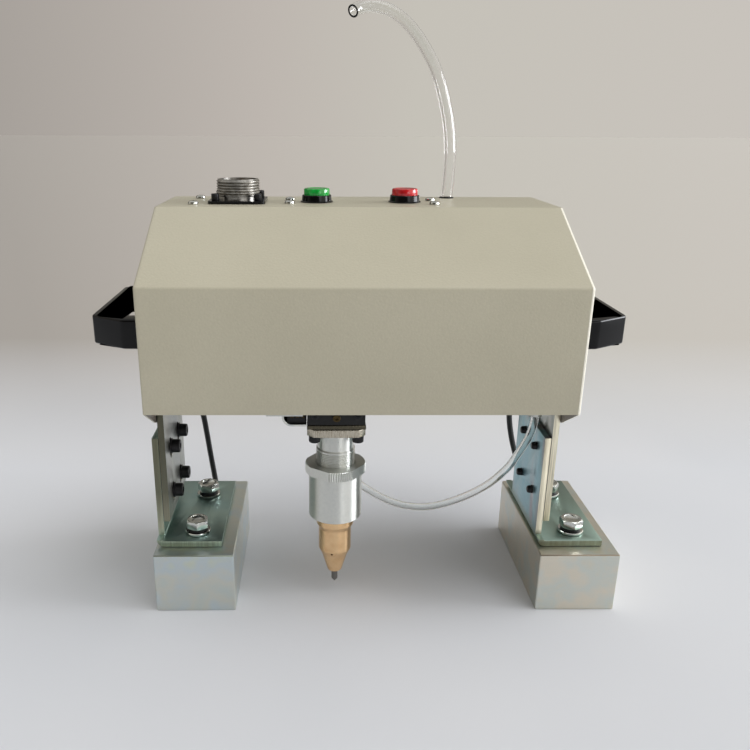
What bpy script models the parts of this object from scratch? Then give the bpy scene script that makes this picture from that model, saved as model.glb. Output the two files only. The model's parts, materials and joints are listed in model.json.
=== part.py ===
"""Bench marking machine: a pneumatic pin head that travels in X and Y inside a sheet-metal case,
carried by two plates that clamp to a pair of magnet feet."""

import math

import bmesh
import bpy
from mathutils import Vector

MM = 0.001

# Fits and cuts
GAP = 0.3 * MM
RUNNING_GAP = 0.5 * MM
OVERRUN = 2.0 * MM
WELD = 0.003 * MM
HAIR = 0.000001 * MM
SMOOTH_ANGLE = math.radians(35)

# Case: front panel, sloping shoulder, flat top and back, between two side sheets
CASE_WIDTH = 250.0 * MM
CASE_DEPTH = 146.1 * MM
SHEET = 1.5 * MM
SLOPE_RUN = 71.9 * MM
SLOPE_RISE = 35.5 * MM
FRONT_HEIGHT = 73.3 * MM
BEND_RADIUS = 3.0 * MM
SKIRT_DROP = 16.0 * MM
SKIRT_RUN = 28.0 * MM

# Stylus, stacked up from the bench
TIP_GAP = 9.3 * MM
PIN_DIAMETER = 4.0 * MM
PIN_POINT = 2.2 * MM
PIN_SHOWN = 8.9 * MM
PIN_LENGTH = 48.0 * MM
PISTON_DIAMETER = 13.4 * MM
PISTON_LENGTH = 7.0 * MM
PIN_STROKE = 4.0 * MM
NOZZLE_MOUTH = 9.4 * MM
NOZZLE_LIP = 1.0 * MM
NOZZLE_CONE = 12.8 * MM
NOZZLE_CONE_DIAMETER = 16.6 * MM
NOZZLE_CHAMFER = 4.4 * MM
NOZZLE_DIAMETER = 20.8 * MM
NOZZLE_BODY = 15.0 * MM
NOZZLE_FLARE = 3.1 * MM
NOZZLE_COLLAR = 5.3 * MM
NOZZLE_COLLAR_DIAMETER = 23.7 * MM
NOZZLE_BORE = 14.0 * MM
NOZZLE_BORE_FLOOR = 14.8 * MM
NOZZLE_NECK_DIAMETER = 19.0 * MM
NOZZLE_HEAD_DIAMETER = 23.4 * MM
NOZZLE_HEAD = 3.0 * MM
VENT_DIAMETER = 1.4 * MM
VENT_BELOW_BODY = 1.0 * MM
VENT_ASIDE = 2.0 * MM
SPRING_WIRE = 0.9 * MM
SPRING_DIAMETER = 9.0 * MM
SPRING_TURNS = 6
SLEEVE_GAP = 1.0 * MM
SLEEVE_CHAMFER = 0.5 * MM
SLEEVE_END_DIAMETER = 32.4 * MM
SLEEVE_DIAMETER = 33.4 * MM
SLEEVE_LENGTH = 29.2 * MM
SLEEVE_FLOOR = 4.0 * MM
RING_DIAMETER = 37.6 * MM
RING_HEIGHT = 6.1 * MM
RING_FLAT_DEPTH = 1.7 * MM
RING_FLAT_TURN = math.radians(233.4)
RING_FLAT_COUNT = 4
THREAD_DIAMETER = 24.0 * MM
THREAD_PITCH = 1.5 * MM
THREAD_DEPTH = 0.5 * MM
THREAD_SHOWN = 10.7 * MM
THREAD_HIDDEN = 18.5 * MM
NECK_DIAMETER = 22.6 * MM
NECK_LENGTH = 12.0 * MM
AIR_BORE = 8.0 * MM
PORT_DIAMETER = 5.0 * MM
FLANGE_SIZE = 35.0 * MM
FLANGE_HEIGHT = 5.0 * MM
FLANGE_CORNER = 4.0 * MM
ADAPTER_HEIGHT = 3.3 * MM
ADAPTER_LENGTH = 52.0 * MM
STYLUS_X = -14.2 * MM
STYLUS_Y = 30.0 * MM

# Elbow that brings air to the back of the stylus
ELBOW_REACH = 16.0 * MM
ELBOW_STEM = 6.4 * MM
ELBOW_DIAMETER = 9.6 * MM
ELBOW_DROP = 12.0 * MM
ELBOW_BELOW_FLANGE = 7.0 * MM

# Linear guides, the same size on both axes
RAIL_WIDTH = 15.0 * MM
RAIL_HEIGHT = 12.5 * MM
RAIL_WAIST = 1.2 * MM
RAIL_NOTCH_SHARES = (0.35, 0.6)
GUIDE_WIDTH = 34.0 * MM
GUIDE_LENGTH = 56.8 * MM
GUIDE_HEIGHT = 19.5 * MM
GUIDE_STACK = 24.0 * MM
GUIDE_SLOT = 16.0 * MM
END_CAP = 4.0 * MM
CARRIAGE_FRONT_Y = 12.0 * MM
CARRIAGE_DROP = 11.0 * MM
Y_TRAVEL = 70.0 * MM
X_TRAVEL_LEFT = 50.0 * MM
X_TRAVEL_RIGHT = 90.0 * MM
RAIL_END_GAP = 4.8 * MM

# Screw drives and small square stepper motors
MOTOR_SIZE = 28.0 * MM
MOTOR_LENGTH = 32.0 * MM
MOTOR_CORNER = 3.0 * MM
MOTOR_BOSS = 20.0 * MM
MOTOR_BOSS_HEIGHT = 2.0 * MM
MOTOR_BORE_DEPTH = 12.0 * MM
SCREW_DIAMETER = 6.0 * MM
NUT_SIZE = 13.0 * MM
NUT_LENGTH = 12.0 * MM
DRIVE_WALL = 3.0 * MM
BEARING_WALL = 6.0 * MM

# Beam that carries the Y rail
BEAM_WIDTH = 40.0 * MM
BEAM_HEIGHT = 8.0 * MM
BEAM_END_GAP = 2.5 * MM
Y_SCREW_OFFSET = 34.4 * MM
Y_SCREW_DROP = 9.0 * MM
Y_NUT_SETBACK = 2.0 * MM
X_SCREW_ABOVE_BEAM = 15.0 * MM

# Frame plates, inside the side sheets, and the plate that joins them
PLATE = 3.9 * MM
TONGUE_FRONT_Y = 27.5 * MM
TONGUE_DEPTH = 62.5 * MM
TONGUE_TAIL = 14.4 * MM
TONGUE_HANG = 83.2 * MM
FRAME_BACK_GAP = 2.6 * MM
FRAME_ABOVE_EDGE = 8.0 * MM
FRAME_RISE = 6.5 * MM
TOP_PLATE = 8.0 * MM
CLAMP_SETBACK = 17.0 * MM
CLAMP_SPACING_Y = 27.0 * MM
CLAMP_SPACING_Z = 31.0 * MM
SLOT_WIDTH = 5.6 * MM
SLOT_ABOVE = 3.0 * MM
SLOT_BELOW = 5.5 * MM
CABLE_BLOCK = 11.0 * MM
CABLE_BLOCK_GAP = 2.0 * MM
CABLE_BLOCK_HEIGHT = 8.0 * MM

# Clamp screws
CLAMP_SCREW = 5.0 * MM
CLAMP_HEAD = 8.5 * MM
CLAMP_HEAD_HEIGHT = 5.0 * MM
CLAMP_LOW_HEAD = 2.6 * MM
CLAMP_WASHER = 10.0 * MM
CLAMP_WASHER_HEIGHT = 1.0 * MM
CLAMP_END = 3.2 * MM
HEX_KEY = 4.0 * MM
KEY_DEPTH_SHARE = 0.48

# Feet: a magnet block under an angle bracket
BLOCK_WIDTH = 50.3 * MM
BLOCK_LENGTH = 107.0 * MM
BLOCK_HEIGHT = 40.0 * MM
BLOCK_FRONT_Y = 9.8 * MM
BLOCK_CORNER = 0.6 * MM
BRACKET_INSET = 0.7 * MM
BRACKET_ABOVE_CLAMP = 12.0 * MM
LEG_WIDTH = 41.2 * MM
LEG_SETBACK = 10.7 * MM
LEG_LENGTH = 87.7 * MM
LEG_BEND = 4.6 * MM
COIL_MARGIN = 6.0 * MM
COIL_BAND = 9.0 * MM
COIL_DEPTH = 14.0 * MM
COIL_RECESS = 0.8 * MM
FOOT_BOLT = 8.0 * MM
FOOT_BOLT_LENGTH = 22.0 * MM
FOOT_BOLT_SPACING = 53.0 * MM
FOOT_BOLT_SETBACK = 23.6 * MM
FOOT_BOLT_ACROSS = 13.0 * MM
FOOT_BOLT_HEAD = 5.5 * MM
FOOT_WASHER = 16.2 * MM
FOOT_WASHER_HEIGHT = 1.6 * MM
LOCK_WASHER = 12.6 * MM
LOCK_WASHER_HEIGHT = 2.0 * MM
GLAND_DIAMETER = 8.0 * MM
GLAND_LENGTH = 4.0 * MM
GLAND_STEM = 6.0 * MM
GLAND_STEM_LENGTH = 7.0 * MM
GLAND_HEIGHT = 24.0 * MM
MAGNET_CABLE = 4.0 * MM

# Bridge handles on the side sheets
HANDLE_LENGTH = 108.0 * MM
HANDLE_REACH = 34.5 * MM
HANDLE_HEIGHT = 18.0 * MM
HANDLE_FOOT = 12.0 * MM
HANDLE_FOOT_REACH = 14.0 * MM
HANDLE_GRIP = 5.0 * MM
HANDLE_GRIP_INSET = 13.0 * MM
HANDLE_CENTRE_Y = 80.0 * MM
HANDLE_BELOW_FOLD = 23.9 * MM

# Fittings on the top
FITTINGS_Y = 104.0 * MM
CONNECTOR_X_SHARE = -0.3064
CONNECTOR_FLANGE = 36.0 * MM
CONNECTOR_FLANGE_HEIGHT = 1.6 * MM
CONNECTOR_CORNER = 3.0 * MM
CONNECTOR_THREAD = 27.6 * MM
CONNECTOR_THREAD_DEPTH = 0.7 * MM
CONNECTOR_THREAD_PITCH = 1.9 * MM
CONNECTOR_HEIGHT = 14.5 * MM
CONNECTOR_PLAIN = 2.0 * MM
CONNECTOR_BORE = 23.0 * MM
CONNECTOR_BODY = 25.0 * MM
CONNECTOR_DEPTH = 14.0 * MM
INSERT_BELOW_RIM = 8.0 * MM
INSERT_HEIGHT = 12.0 * MM
CONTACT_DIAMETER = 1.8 * MM
CONTACT_HEIGHT = 4.5 * MM
CONTACT_COUNT = 8
CONTACT_CIRCLE_SHARE = 0.3
GREEN_X_SHARE = -0.1036
RED_X_SHARE = 0.1248
SWITCH_FLARE = 21.0 * MM
SWITCH_FLARE_HEIGHT = 0.8 * MM
SWITCH_BEZEL = 19.4 * MM
SWITCH_BEZEL_HEIGHT = 4.6 * MM
SWITCH_BARREL = 15.0 * MM
SWITCH_DEPTH = 20.0 * MM
SWITCH_WELL = 7.4 * MM
CAP_DIAMETER = 17.0 * MM
CAP_HEIGHT = 7.4 * MM
CAP_SHOWN = 4.1 * MM
CAP_TRAVEL = 2.5 * MM
INLET_X_SHARE = 0.254
INLET_BODY = 14.0 * MM
INLET_BACK_GAP = 1.6 * MM
INLET_NOSE = 9.8 * MM
INLET_NOSE_HEIGHT = 0.6 * MM
INLET_LENGTH = 18.0 * MM
INLET_SOCKET = 10.0 * MM
SUPPLY_HOSE = 8.0 * MM
STYLUS_HOSE = 5.1 * MM

# Air valve on the right frame plate
VALVE_WIDTH = 22.0 * MM
VALVE_FRONT_Y = 28.5 * MM
VALVE_DEPTH = 22.0 * MM
VALVE_HEIGHT = 30.0 * MM
VALVE_BELOW_EDGE = 9.6 * MM
VALVE_PORT = 9.0 * MM
VALVE_PORT_LENGTH = 5.0 * MM
VALVE_PORT_SETBACK = 10.5 * MM

# Home switch beside the carriage
SWITCH_TRAY_WIDTH = 14.6 * MM
SWITCH_TRAY_DEPTH = 20.0 * MM
SWITCH_TRAY_FRONT_Y = 13.0 * MM
SWITCH_TRAY_SHEET = 1.3 * MM
SWITCH_TRAY_RADIUS = 6.0 * MM
SWITCH_TRAY_HEIGHT = 9.0 * MM
SWITCH_TRAY_DROP = 1.1 * MM
SWITCH_BODY_HEIGHT = 6.2 * MM
SWITCH_BODY_INSET = 1.6 * MM

# Counts of sides and steps
ROUND_STEPS = 32
FINE_STEPS = 48
SMALL_STEPS = 16
TINY_STEPS = 8
BEND_STEPS = 4
CURVE_STEPS = 12
ROUTE_STEPS = 26
SPRING_STEPS = 10
HEX_COUNT = 6

# Heights worked out from the bench upward
NOZZLE_MOUTH_Z = TIP_GAP + PIN_SHOWN
NOZZLE_CONE_Z = NOZZLE_MOUTH_Z + NOZZLE_CONE
NOZZLE_CHAMFER_Z = NOZZLE_CONE_Z + NOZZLE_CHAMFER
NOZZLE_BODY_Z = NOZZLE_CHAMFER_Z + NOZZLE_BODY
NOZZLE_FLARE_Z = NOZZLE_BODY_Z + NOZZLE_FLARE
NOZZLE_COLLAR_Z = NOZZLE_FLARE_Z + NOZZLE_COLLAR
SLEEVE_END_Z = NOZZLE_COLLAR_Z + SLEEVE_GAP
SLEEVE_BODY_Z = SLEEVE_END_Z + SLEEVE_CHAMFER
RING_Z = SLEEVE_BODY_Z + SLEEVE_LENGTH
RING_TOP_Z = RING_Z + RING_HEIGHT
NECK_Z = RING_TOP_Z + THREAD_SHOWN
FLANGE_Z = NECK_Z + NECK_LENGTH
FLANGE_TOP_Z = FLANGE_Z + FLANGE_HEIGHT
FACE_Z = FLANGE_TOP_Z + ADAPTER_HEIGHT
CASE_Z = FACE_Z + CARRIAGE_DROP
FOLD_Z = CASE_Z + FRONT_HEIGHT
CASE_TOP_Z = FOLD_Z + SLOPE_RISE
Y_RAIL_TOP_Z = FACE_Z + GUIDE_STACK
BEAM_Z = Y_RAIL_TOP_Z + GAP
BEAM_TOP_Z = BEAM_Z + BEAM_HEIGHT
X_FACE_Z = BEAM_TOP_Z + GAP
X_RAIL_TOP_Z = X_FACE_Z + GUIDE_STACK
TOP_PLATE_Z = X_RAIL_TOP_Z + GAP
FRAME_TOP_Z = TOP_PLATE_Z + TOP_PLATE + FRAME_RISE

# Places across the machine
FRAME_OUTER_X = CASE_WIDTH / 2 - SHEET - GAP
FRAME_INNER_X = FRAME_OUTER_X - PLATE
TONGUE_BACK_Y = TONGUE_FRONT_Y + TONGUE_DEPTH
FRAME_CLAMP_Y = TONGUE_BACK_Y + CABLE_BLOCK_GAP
FRAME_BACK_Y = CASE_DEPTH - SHEET - FRAME_BACK_GAP
LEFT_FOOT_X = -FRAME_OUTER_X - GAP - PLATE
RIGHT_FOOT_X = FRAME_INNER_X - GAP - PLATE
GUIDE_X = STYLUS_X
X_GUIDE_Y = TONGUE_FRONT_Y + TONGUE_DEPTH / 2
X_SCREW_Y = (TONGUE_BACK_Y + CASE_DEPTH - SHEET) / 2
X_SCREW_Z = BEAM_TOP_Z + X_SCREW_ABOVE_BEAM
Y_SCREW_X = STYLUS_X - Y_SCREW_OFFSET
Y_SCREW_Z = BEAM_Z - Y_SCREW_DROP
Y_MOTOR_BACK_Y = CASE_DEPTH - SHEET - BEAM_END_GAP
Y_MOTOR_FRONT_Y = Y_MOTOR_BACK_Y - MOTOR_LENGTH
BEAM_FRONT_Y = SHEET + BEAM_END_GAP
BEAM_BACK_Y = Y_MOTOR_BACK_Y
X_MOTOR_LEFT_X = -FRAME_INNER_X + GAP
X_MOTOR_RIGHT_X = X_MOTOR_LEFT_X + MOTOR_LENGTH
CONNECTOR_X = CASE_WIDTH * CONNECTOR_X_SHARE
GREEN_X = CASE_WIDTH * GREEN_X_SHARE
RED_X = CASE_WIDTH * RED_X_SHARE
INLET_X = CASE_WIDTH * INLET_X_SHARE
INLET_Y = CASE_DEPTH - SHEET - INLET_BACK_GAP - INLET_BODY / 2

# Clamp screw rows
CLAMP_FRONT_Y = TONGUE_FRONT_Y + CLAMP_SETBACK
CLAMP_ROWS_Y = (CLAMP_FRONT_Y, CLAMP_FRONT_Y + CLAMP_SPACING_Y)
TONGUE_Z = CASE_Z - TONGUE_HANG
CLAMP_LOW_Z = TONGUE_Z + TONGUE_TAIL
CLAMP_ROWS_Z = (CLAMP_LOW_Z, CLAMP_LOW_Z + CLAMP_SPACING_Z)
BRACKET_TOP_Z = CLAMP_ROWS_Z[1] + BRACKET_ABOVE_CLAMP
LEG_Z = BLOCK_HEIGHT + GAP
LEG_TOP_Z = LEG_Z + PLATE

# The object stands over the middle of its own outline
HANDLE_OUT_X = CASE_WIDTH / 2 + GAP + HANDLE_REACH
RIGHT_EDGE_X = RIGHT_FOOT_X - BRACKET_INSET + BLOCK_WIDTH
MACHINE_X = (HANDLE_OUT_X - max(RIGHT_EDGE_X, HANDLE_OUT_X)) / 2
MACHINE_Y = -CASE_DEPTH / 2

# Routes of the hoses and cables, chosen by hand for an inlet and a right frame plate at these places
ROUTE_INLET_X = 63.5 * MM
ROUTE_INLET_Y = 136.0 * MM
ROUTE_PLATE_X = 119.3 * MM
SUPPLY_ROUTE = (
    (63.5, 136.0, 237.4), (63.6, 136.0, 246.0), (64.2, 136.0, 256.5), (64.6, 136.0, 269.0),
    (64.2, 136.0, 282.3), (62.2, 136.0, 296.6), (57.3, 136.0, 315.1), (51.3, 136.0, 329.7),
    (43.5, 136.0, 342.5), (34.4, 136.0, 353.5), (25.5, 136.0, 360.5), (16.8, 135.8, 364.3),
    (8.1, 135.0, 365.5), (1.0, 132.6, 363.9), (-3.0, 128.4, 361.6),
)
STYLUS_ROUTE = (
    (110.6, 39.0, 122.6), (110.6, 39.0, 119.0), (109.3, 39.0, 111.7), (107.0, 40.0, 104.3),
    (101.9, 42.0, 92.8), (98.0, 43.0, 85.4), (88.9, 45.0, 74.2), (79.0, 47.0, 66.0),
    (68.5, 48.0, 60.1), (58.1, 50.0, 55.2), (47.2, 51.0, 52.6), (36.3, 52.0, 52.5),
    (25.1, 53.0, 55.0), (13.9, 55.0, 59.7), (4.6, 56.4, 65.6), (-3.4, 57.0, 73.2),
    (-9.6, 57.3, 82.0), (-13.2, 57.3, 91.0), (-14.2, 57.3, 98.6),
)
HOSE_SPLIT_SHARE = 0.62
HOSE_SEAM_SHARE = 0.002
INLET_SHIFT_X = INLET_X - ROUTE_INLET_X
INLET_SHIFT_Y = INLET_Y - ROUTE_INLET_Y
PLATE_SHIFT = FRAME_INNER_X - ROUTE_PLATE_X
INNER_ROUTE = (
    (63.5, 136.0, 226.2), (63.7, 135.8, 219.0), (67.0, 132.6, 211.4), (75.5, 124.6, 206.2),
    (86.5, 114.4, 202.8), (97.5, 104.8, 197.4), (105.6, 99.6, 187.4), (109.3, 96.6, 174.0),
    (110.2, 91.0, 161.5), (109.6, 81.5, 152.8), (109.0, 70.0, 149.2), (108.6, 62.0, 148.6),
    (108.6, 56.2, 148.6),
)
LEFT_CABLE_ROUTE = (
    (-102.95, 121.2, 24.0), (-102.95, 124.0, 24.0), (-103.05, 126.6, 25.6), (-103.3, 127.6, 30.0),
    (-103.7, 126.4, 37.0), (-104.3, 123.2, 47.0), (-105.2, 118.4, 62.0), (-106.2, 113.0, 80.0),
    (-107.4, 107.4, 97.0), (-110.0, 101.8, 111.0), (-113.0, 98.2, 121.0), (-113.5, 97.5, 129.2),
)
RIGHT_CABLE_ROUTE = (
    (139.55, 121.2, 24.0), (139.5, 124.0, 24.0), (138.9, 126.6, 25.6), (137.4, 127.6, 30.0),
    (134.6, 126.4, 37.0), (129.8, 122.0, 48.0), (123.0, 116.8, 61.0), (116.9, 112.0, 79.0),
    (112.9, 107.4, 97.0), (112.0, 102.2, 111.0), (113.2, 98.2, 121.0), (113.5, 97.5, 129.2),
)

FINISHES = {
    "paint": ((0.42, 0.40, 0.31), 0.55, 0.0),
    "zinc": ((0.42, 0.47, 0.48), 0.35, 0.9),
    "steel": ((0.56, 0.57, 0.58), 0.3, 0.95),
    "aluminium": ((0.66, 0.67, 0.66), 0.3, 0.9),
    "black oxide": ((0.02, 0.02, 0.022), 0.45, 0.6),
    "black plastic": ((0.015, 0.015, 0.016), 0.2, 0.0),
    "brass": ((0.62, 0.42, 0.22), 0.28, 0.95),
    "carbide": ((0.09, 0.09, 0.09), 0.4, 0.8),
    "nickel": ((0.16, 0.16, 0.16), 0.3, 0.9),
    "green": ((0.01, 0.4, 0.06), 0.15, 0.0),
    "red": ((0.55, 0.01, 0.02), 0.15, 0.0),
    "clear": ((0.85, 0.86, 0.88), 0.1, 0.0),
    "resin": ((0.03, 0.03, 0.03), 0.6, 0.0),
    "cable": ((0.012, 0.012, 0.014), 0.5, 0.0),
}

for old in list(bpy.data.objects):
    bpy.data.objects.remove(old, do_unlink=True)

machine = bpy.data.objects.new("machine", None)
machine.location = (MACHINE_X, MACHINE_Y, 0)
bpy.context.scene.collection.objects.link(machine)


def place(obj, origin):
    """Puts an object's own origin at a point of the machine and hangs it on the machine's frame."""
    obj.data.transform(obj.matrix_world.inverted())
    for vertex in obj.data.vertices:
        vertex.co -= Vector(origin)
    obj.parent = machine
    obj.location = origin


def finish(obj, kind):
    """Gives a piece its own material of one of the machine's finishes."""
    colour, roughness, metallic = FINISHES[kind]
    made = bpy.data.materials.new(obj.name)
    made.use_nodes = True
    shader = made.node_tree.nodes["Principled BSDF"]
    shader.inputs["Base Color"].default_value = (*colour, 1.0)
    shader.inputs["Roughness"].default_value = roughness
    shader.inputs["Metallic"].default_value = metallic
    made.diffuse_color = (*colour, 1.0)
    obj.data.materials.clear()
    obj.data.materials.append(made)


def solid(name, mesh_builder, origin=None, smooth=False):
    """Makes one object from a bmesh, faces out, with its origin under its middle if none is given."""
    bmesh.ops.recalc_face_normals(mesh_builder, faces=mesh_builder.faces)
    mesh = bpy.data.meshes.new(name)
    mesh_builder.to_mesh(mesh)
    mesh_builder.free()
    obj = bpy.data.objects.new(name, mesh)
    bpy.context.scene.collection.objects.link(obj)
    if origin is None:
        corners = [Vector(corner) for corner in obj.bound_box]
        low, high = corners[0], corners[6]
        origin = ((low.x + high.x) / 2, (low.y + high.y) / 2, low.z)
    place(obj, origin)
    if smooth:
        mesh.shade_smooth()
        mesh.set_sharp_from_angle(angle=SMOOTH_ANGLE)
    return obj


def box(name, low, high):
    """A block between two corners."""
    made = bmesh.new()
    bmesh.ops.create_cube(made, size=1)
    for vertex in made.verts:
        for axis in range(3):
            vertex.co[axis] = high[axis] if vertex.co[axis] > 0 else low[axis]
    return solid(name, made)


def prism(name, outline, axis, low, high, smooth=False):
    """An outline drawn across one axis and drawn out along it."""
    made = bmesh.new()
    ring = []
    for first, second in outline:
        point = [first, second]
        point.insert(axis, low)
        ring.append(made.verts.new(point))
    face = made.faces.new(ring)
    grown = bmesh.ops.extrude_face_region(made, geom=[face])
    step = Vector((0, 0, 0))
    step[axis] = high - low
    moved = [item for item in grown["geom"] if isinstance(item, bmesh.types.BMVert)]
    bmesh.ops.translate(made, vec=step, verts=moved)
    return solid(name, made, smooth=smooth)


def turned(name, profile, centre, axis=2, steps=ROUND_STEPS, origin=None):
    """A closed profile of (radius, distance along the axis) turned once round the axis."""
    made = bmesh.new()
    side = Vector((1, 0, 0)) if axis != 0 else Vector((0, 1, 0))
    along = Vector((0, 0, 0))
    along[axis] = 1
    ring = [made.verts.new(Vector(centre) + side * radius + along * distance) for radius, distance in profile]
    edges = [made.edges.new((ring[i], ring[(i + 1) % len(ring)])) for i in range(len(ring))]
    bmesh.ops.spin(
        made, geom=ring + edges, cent=centre, axis=along, angle=2 * math.pi, steps=steps, use_merge=True
    )
    bmesh.ops.remove_doubles(made, verts=made.verts, dist=WELD)
    dead = [face for face in made.faces if face.calc_area() == 0]
    bmesh.ops.delete(made, geom=dead, context="FACES")
    bmesh.ops.delete(made, geom=[edge for edge in made.edges if not edge.link_faces], context="EDGES")
    return solid(name, made, centre if origin is None else origin, smooth=True)


def rod(name, radius, centre, low, high, axis=2, steps=ROUND_STEPS):
    """A plain round bar along one axis, from low to high on it."""
    base = list(centre)
    base[axis] = 0
    return turned(name, [(0, low), (radius, low), (radius, high), (0, high)], base, axis, steps)


def combine(target, other, operation):
    """Adds or cuts another shape, which stays only as a guide."""
    other.hide_render = True
    other.display_type = "WIRE"
    step = target.modifiers.new(other.name, "BOOLEAN")
    step.operation = operation
    step.solver = "EXACT"
    step.object = other


def cut(target, *others):
    """Takes shapes out of a piece."""
    for other in others:
        combine(target, other, "DIFFERENCE")


def fuse(target, *others):
    """Makes shapes one solid with a piece."""
    for other in others:
        combine(target, other, "UNION")


def inset(outline, width):
    """The same outline drawn in by a width on every side."""
    points = [Vector(point) for point in outline]
    area = sum(a.cross(b) for a, b in zip(points, points[1:] + points[:1]))
    inward = 1 if area > 0 else -1
    moved = []
    for i, point in enumerate(points):
        come = (point - points[i - 1]).normalized()
        leave = (points[(i + 1) % len(points)] - point).normalized()
        first = Vector((-come.y, come.x)) * inward
        second = Vector((-leave.y, leave.x)) * inward
        share = width / (1 + first.dot(second))
        moved.append(tuple(point + (first + second) * share))
    return moved


def eased_prism(name, outline, axis, low, high, width):
    """A drawn-out outline whose edges at both ends are bevelled."""
    drawn_in = inset(outline, width)
    layers = ((drawn_in, low), (outline, low + width), (outline, high - width), (drawn_in, high))
    made = bmesh.new()
    rings = []
    for points, level in layers:
        ring = []
        for first, second in points:
            point = [first, second]
            point.insert(axis, level)
            ring.append(made.verts.new(point))
        rings.append(ring)
    made.faces.new(rings[0])
    made.faces.new(rings[-1])
    for lower, upper in zip(rings, rings[1:]):
        for i in range(len(lower)):
            following = (i + 1) % len(lower)
            made.faces.new((lower[i], lower[following], upper[following], upper[i]))
    return solid(name, made)


def arc(centre, radius, start, end, steps=BEND_STEPS):
    """Points on part of a circle."""
    turns = [start + (end - start) * i / steps for i in range(steps + 1)]
    return [(centre[0] + radius * math.cos(t), centre[1] + radius * math.sin(t)) for t in turns]


def rectangle(low, high):
    """The four corners of a flat rectangle."""
    return [(low[0], low[1]), (high[0], low[1]), (high[0], high[1]), (low[0], high[1])]


def chamfered(low, high, corner):
    """A flat rectangle with its corners cut off."""
    return [
        (low[0] + corner, low[1]), (high[0] - corner, low[1]),
        (high[0], low[1] + corner), (high[0], high[1] - corner),
        (high[0] - corner, high[1]), (low[0] + corner, high[1]),
        (low[0], high[1] - corner), (low[0], low[1] + corner),
    ]


def hexagon(centre, across):
    """A flat hexagon of a size across its flats."""
    radius = across / 2 / math.cos(math.pi / HEX_COUNT)
    turns = [2 * math.pi * i / HEX_COUNT for i in range(HEX_COUNT)]
    return [(centre[0] + radius * math.cos(t), centre[1] + radius * math.sin(t)) for t in turns]


def bent_strip(path, radius, thickness):
    """The section of a folded sheet: a path along its outer face, folded with a radius at each corner."""
    outer = [path[0]]
    inner = []
    first = (Vector(path[1]) - Vector(path[0])).normalized()
    inner.append(tuple(Vector(path[0]) + thickness * Vector((first.y, -first.x))))
    for before, corner, after in zip(path, path[1:], path[2:]):
        come = (Vector(corner) - Vector(before)).normalized()
        leave = (Vector(after) - Vector(corner)).normalized()
        turn = come.angle_signed(leave)
        reach = radius * math.tan(turn / 2)
        centre = Vector(corner) - come * reach + radius * Vector((come.y, -come.x))
        start = math.atan2(come.x, -come.y)
        outer += arc(centre, radius, start, start - turn)
        inner += arc(centre, radius - thickness, start, start - turn)
    last = (Vector(path[-1]) - Vector(path[-2])).normalized()
    outer.append(path[-1])
    inner.append(tuple(Vector(path[-1]) + thickness * Vector((last.y, -last.x))))
    return outer + inner[::-1]


def shifted(route, first, last):
    """A route in metres, its first point moved across and back by one offset, its last by another."""
    steps = len(route) - 1
    first = Vector((*first, 0))
    last = Vector((*last, 0))
    return [Vector(point) * MM + first.lerp(last, i / steps) for i, point in enumerate(route)]


def smooth_route(knots, start_share=0.0, end_share=1.0):
    """Evenly spaced points on a smooth curve through a route's points."""
    knots = [2 * knots[0] - knots[1]] + knots + [2 * knots[-1] - knots[-2]]
    fine = []
    for a, b, c, d in zip(knots, knots[1:], knots[2:], knots[3:]):
        for i in range(CURVE_STEPS):
            t = i / CURVE_STEPS
            fine.append(0.5 * (2 * b + (c - a) * t + (2 * a - 5 * b + 4 * c - d) * t ** 2
                               + (3 * b - a - 3 * c + d) * t ** 3))
    fine.append(knots[-2])
    lengths = [0.0]
    for a, b in zip(fine, fine[1:]):
        lengths.append(lengths[-1] + (b - a).length)
    points = []
    for i in range(ROUTE_STEPS):
        share = start_share + (end_share - start_share) * i / (ROUTE_STEPS - 1)
        goal = share * lengths[-1]
        k = max(j for j in range(len(fine) - 1) if lengths[j] <= goal + HAIR)
        rest = (goal - lengths[k]) / max(lengths[k + 1] - lengths[k], HAIR)
        points.append(fine[k].lerp(fine[k + 1], min(rest, 1.0)))
    return points


def tube(name, points, diameter, kind, resolution=2):
    """A hose or cable along its route, with flat ends."""
    curve = bpy.data.curves.new(name, "CURVE")
    curve.dimensions = "3D"
    curve.bevel_depth = diameter / 2
    curve.bevel_resolution = resolution
    curve.use_fill_caps = True
    curve.render_resolution_u = 0
    line = curve.splines.new("POLY")
    line.points.add(len(points) - 1)
    for knot, point in zip(line.points, points):
        knot.co = (*point, 1)
    obj = bpy.data.objects.new(name, curve)
    bpy.context.scene.collection.objects.link(obj)
    obj.parent = machine
    finish(obj, kind)
    return obj


def threaded(radius, depth, pitch, low, high):
    """The outer line of a thread from low to high, drawn as grooves of its pitch."""
    line = []
    count = max(1, int((high - low) / pitch))
    step = (high - low) / count
    for i in range(count):
        base = low + step * i
        line += [(radius - depth, base), (radius, base + step / 2)]
    line.append((radius - depth, high))
    return line


def make_feet():
    """Both feet: magnet block and coil, angle bracket, bolts, clamp screws and cable glands."""
    for side, bracket_x in (("left", LEFT_FOOT_X), ("right", RIGHT_FOOT_X)):
        make_block(side, bracket_x - BRACKET_INSET)
        make_bracket(side, bracket_x)
        make_foot_bolts(side, bracket_x - BRACKET_INSET + BLOCK_WIDTH / 2)
        make_clamp_screws(side, bracket_x)


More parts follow.
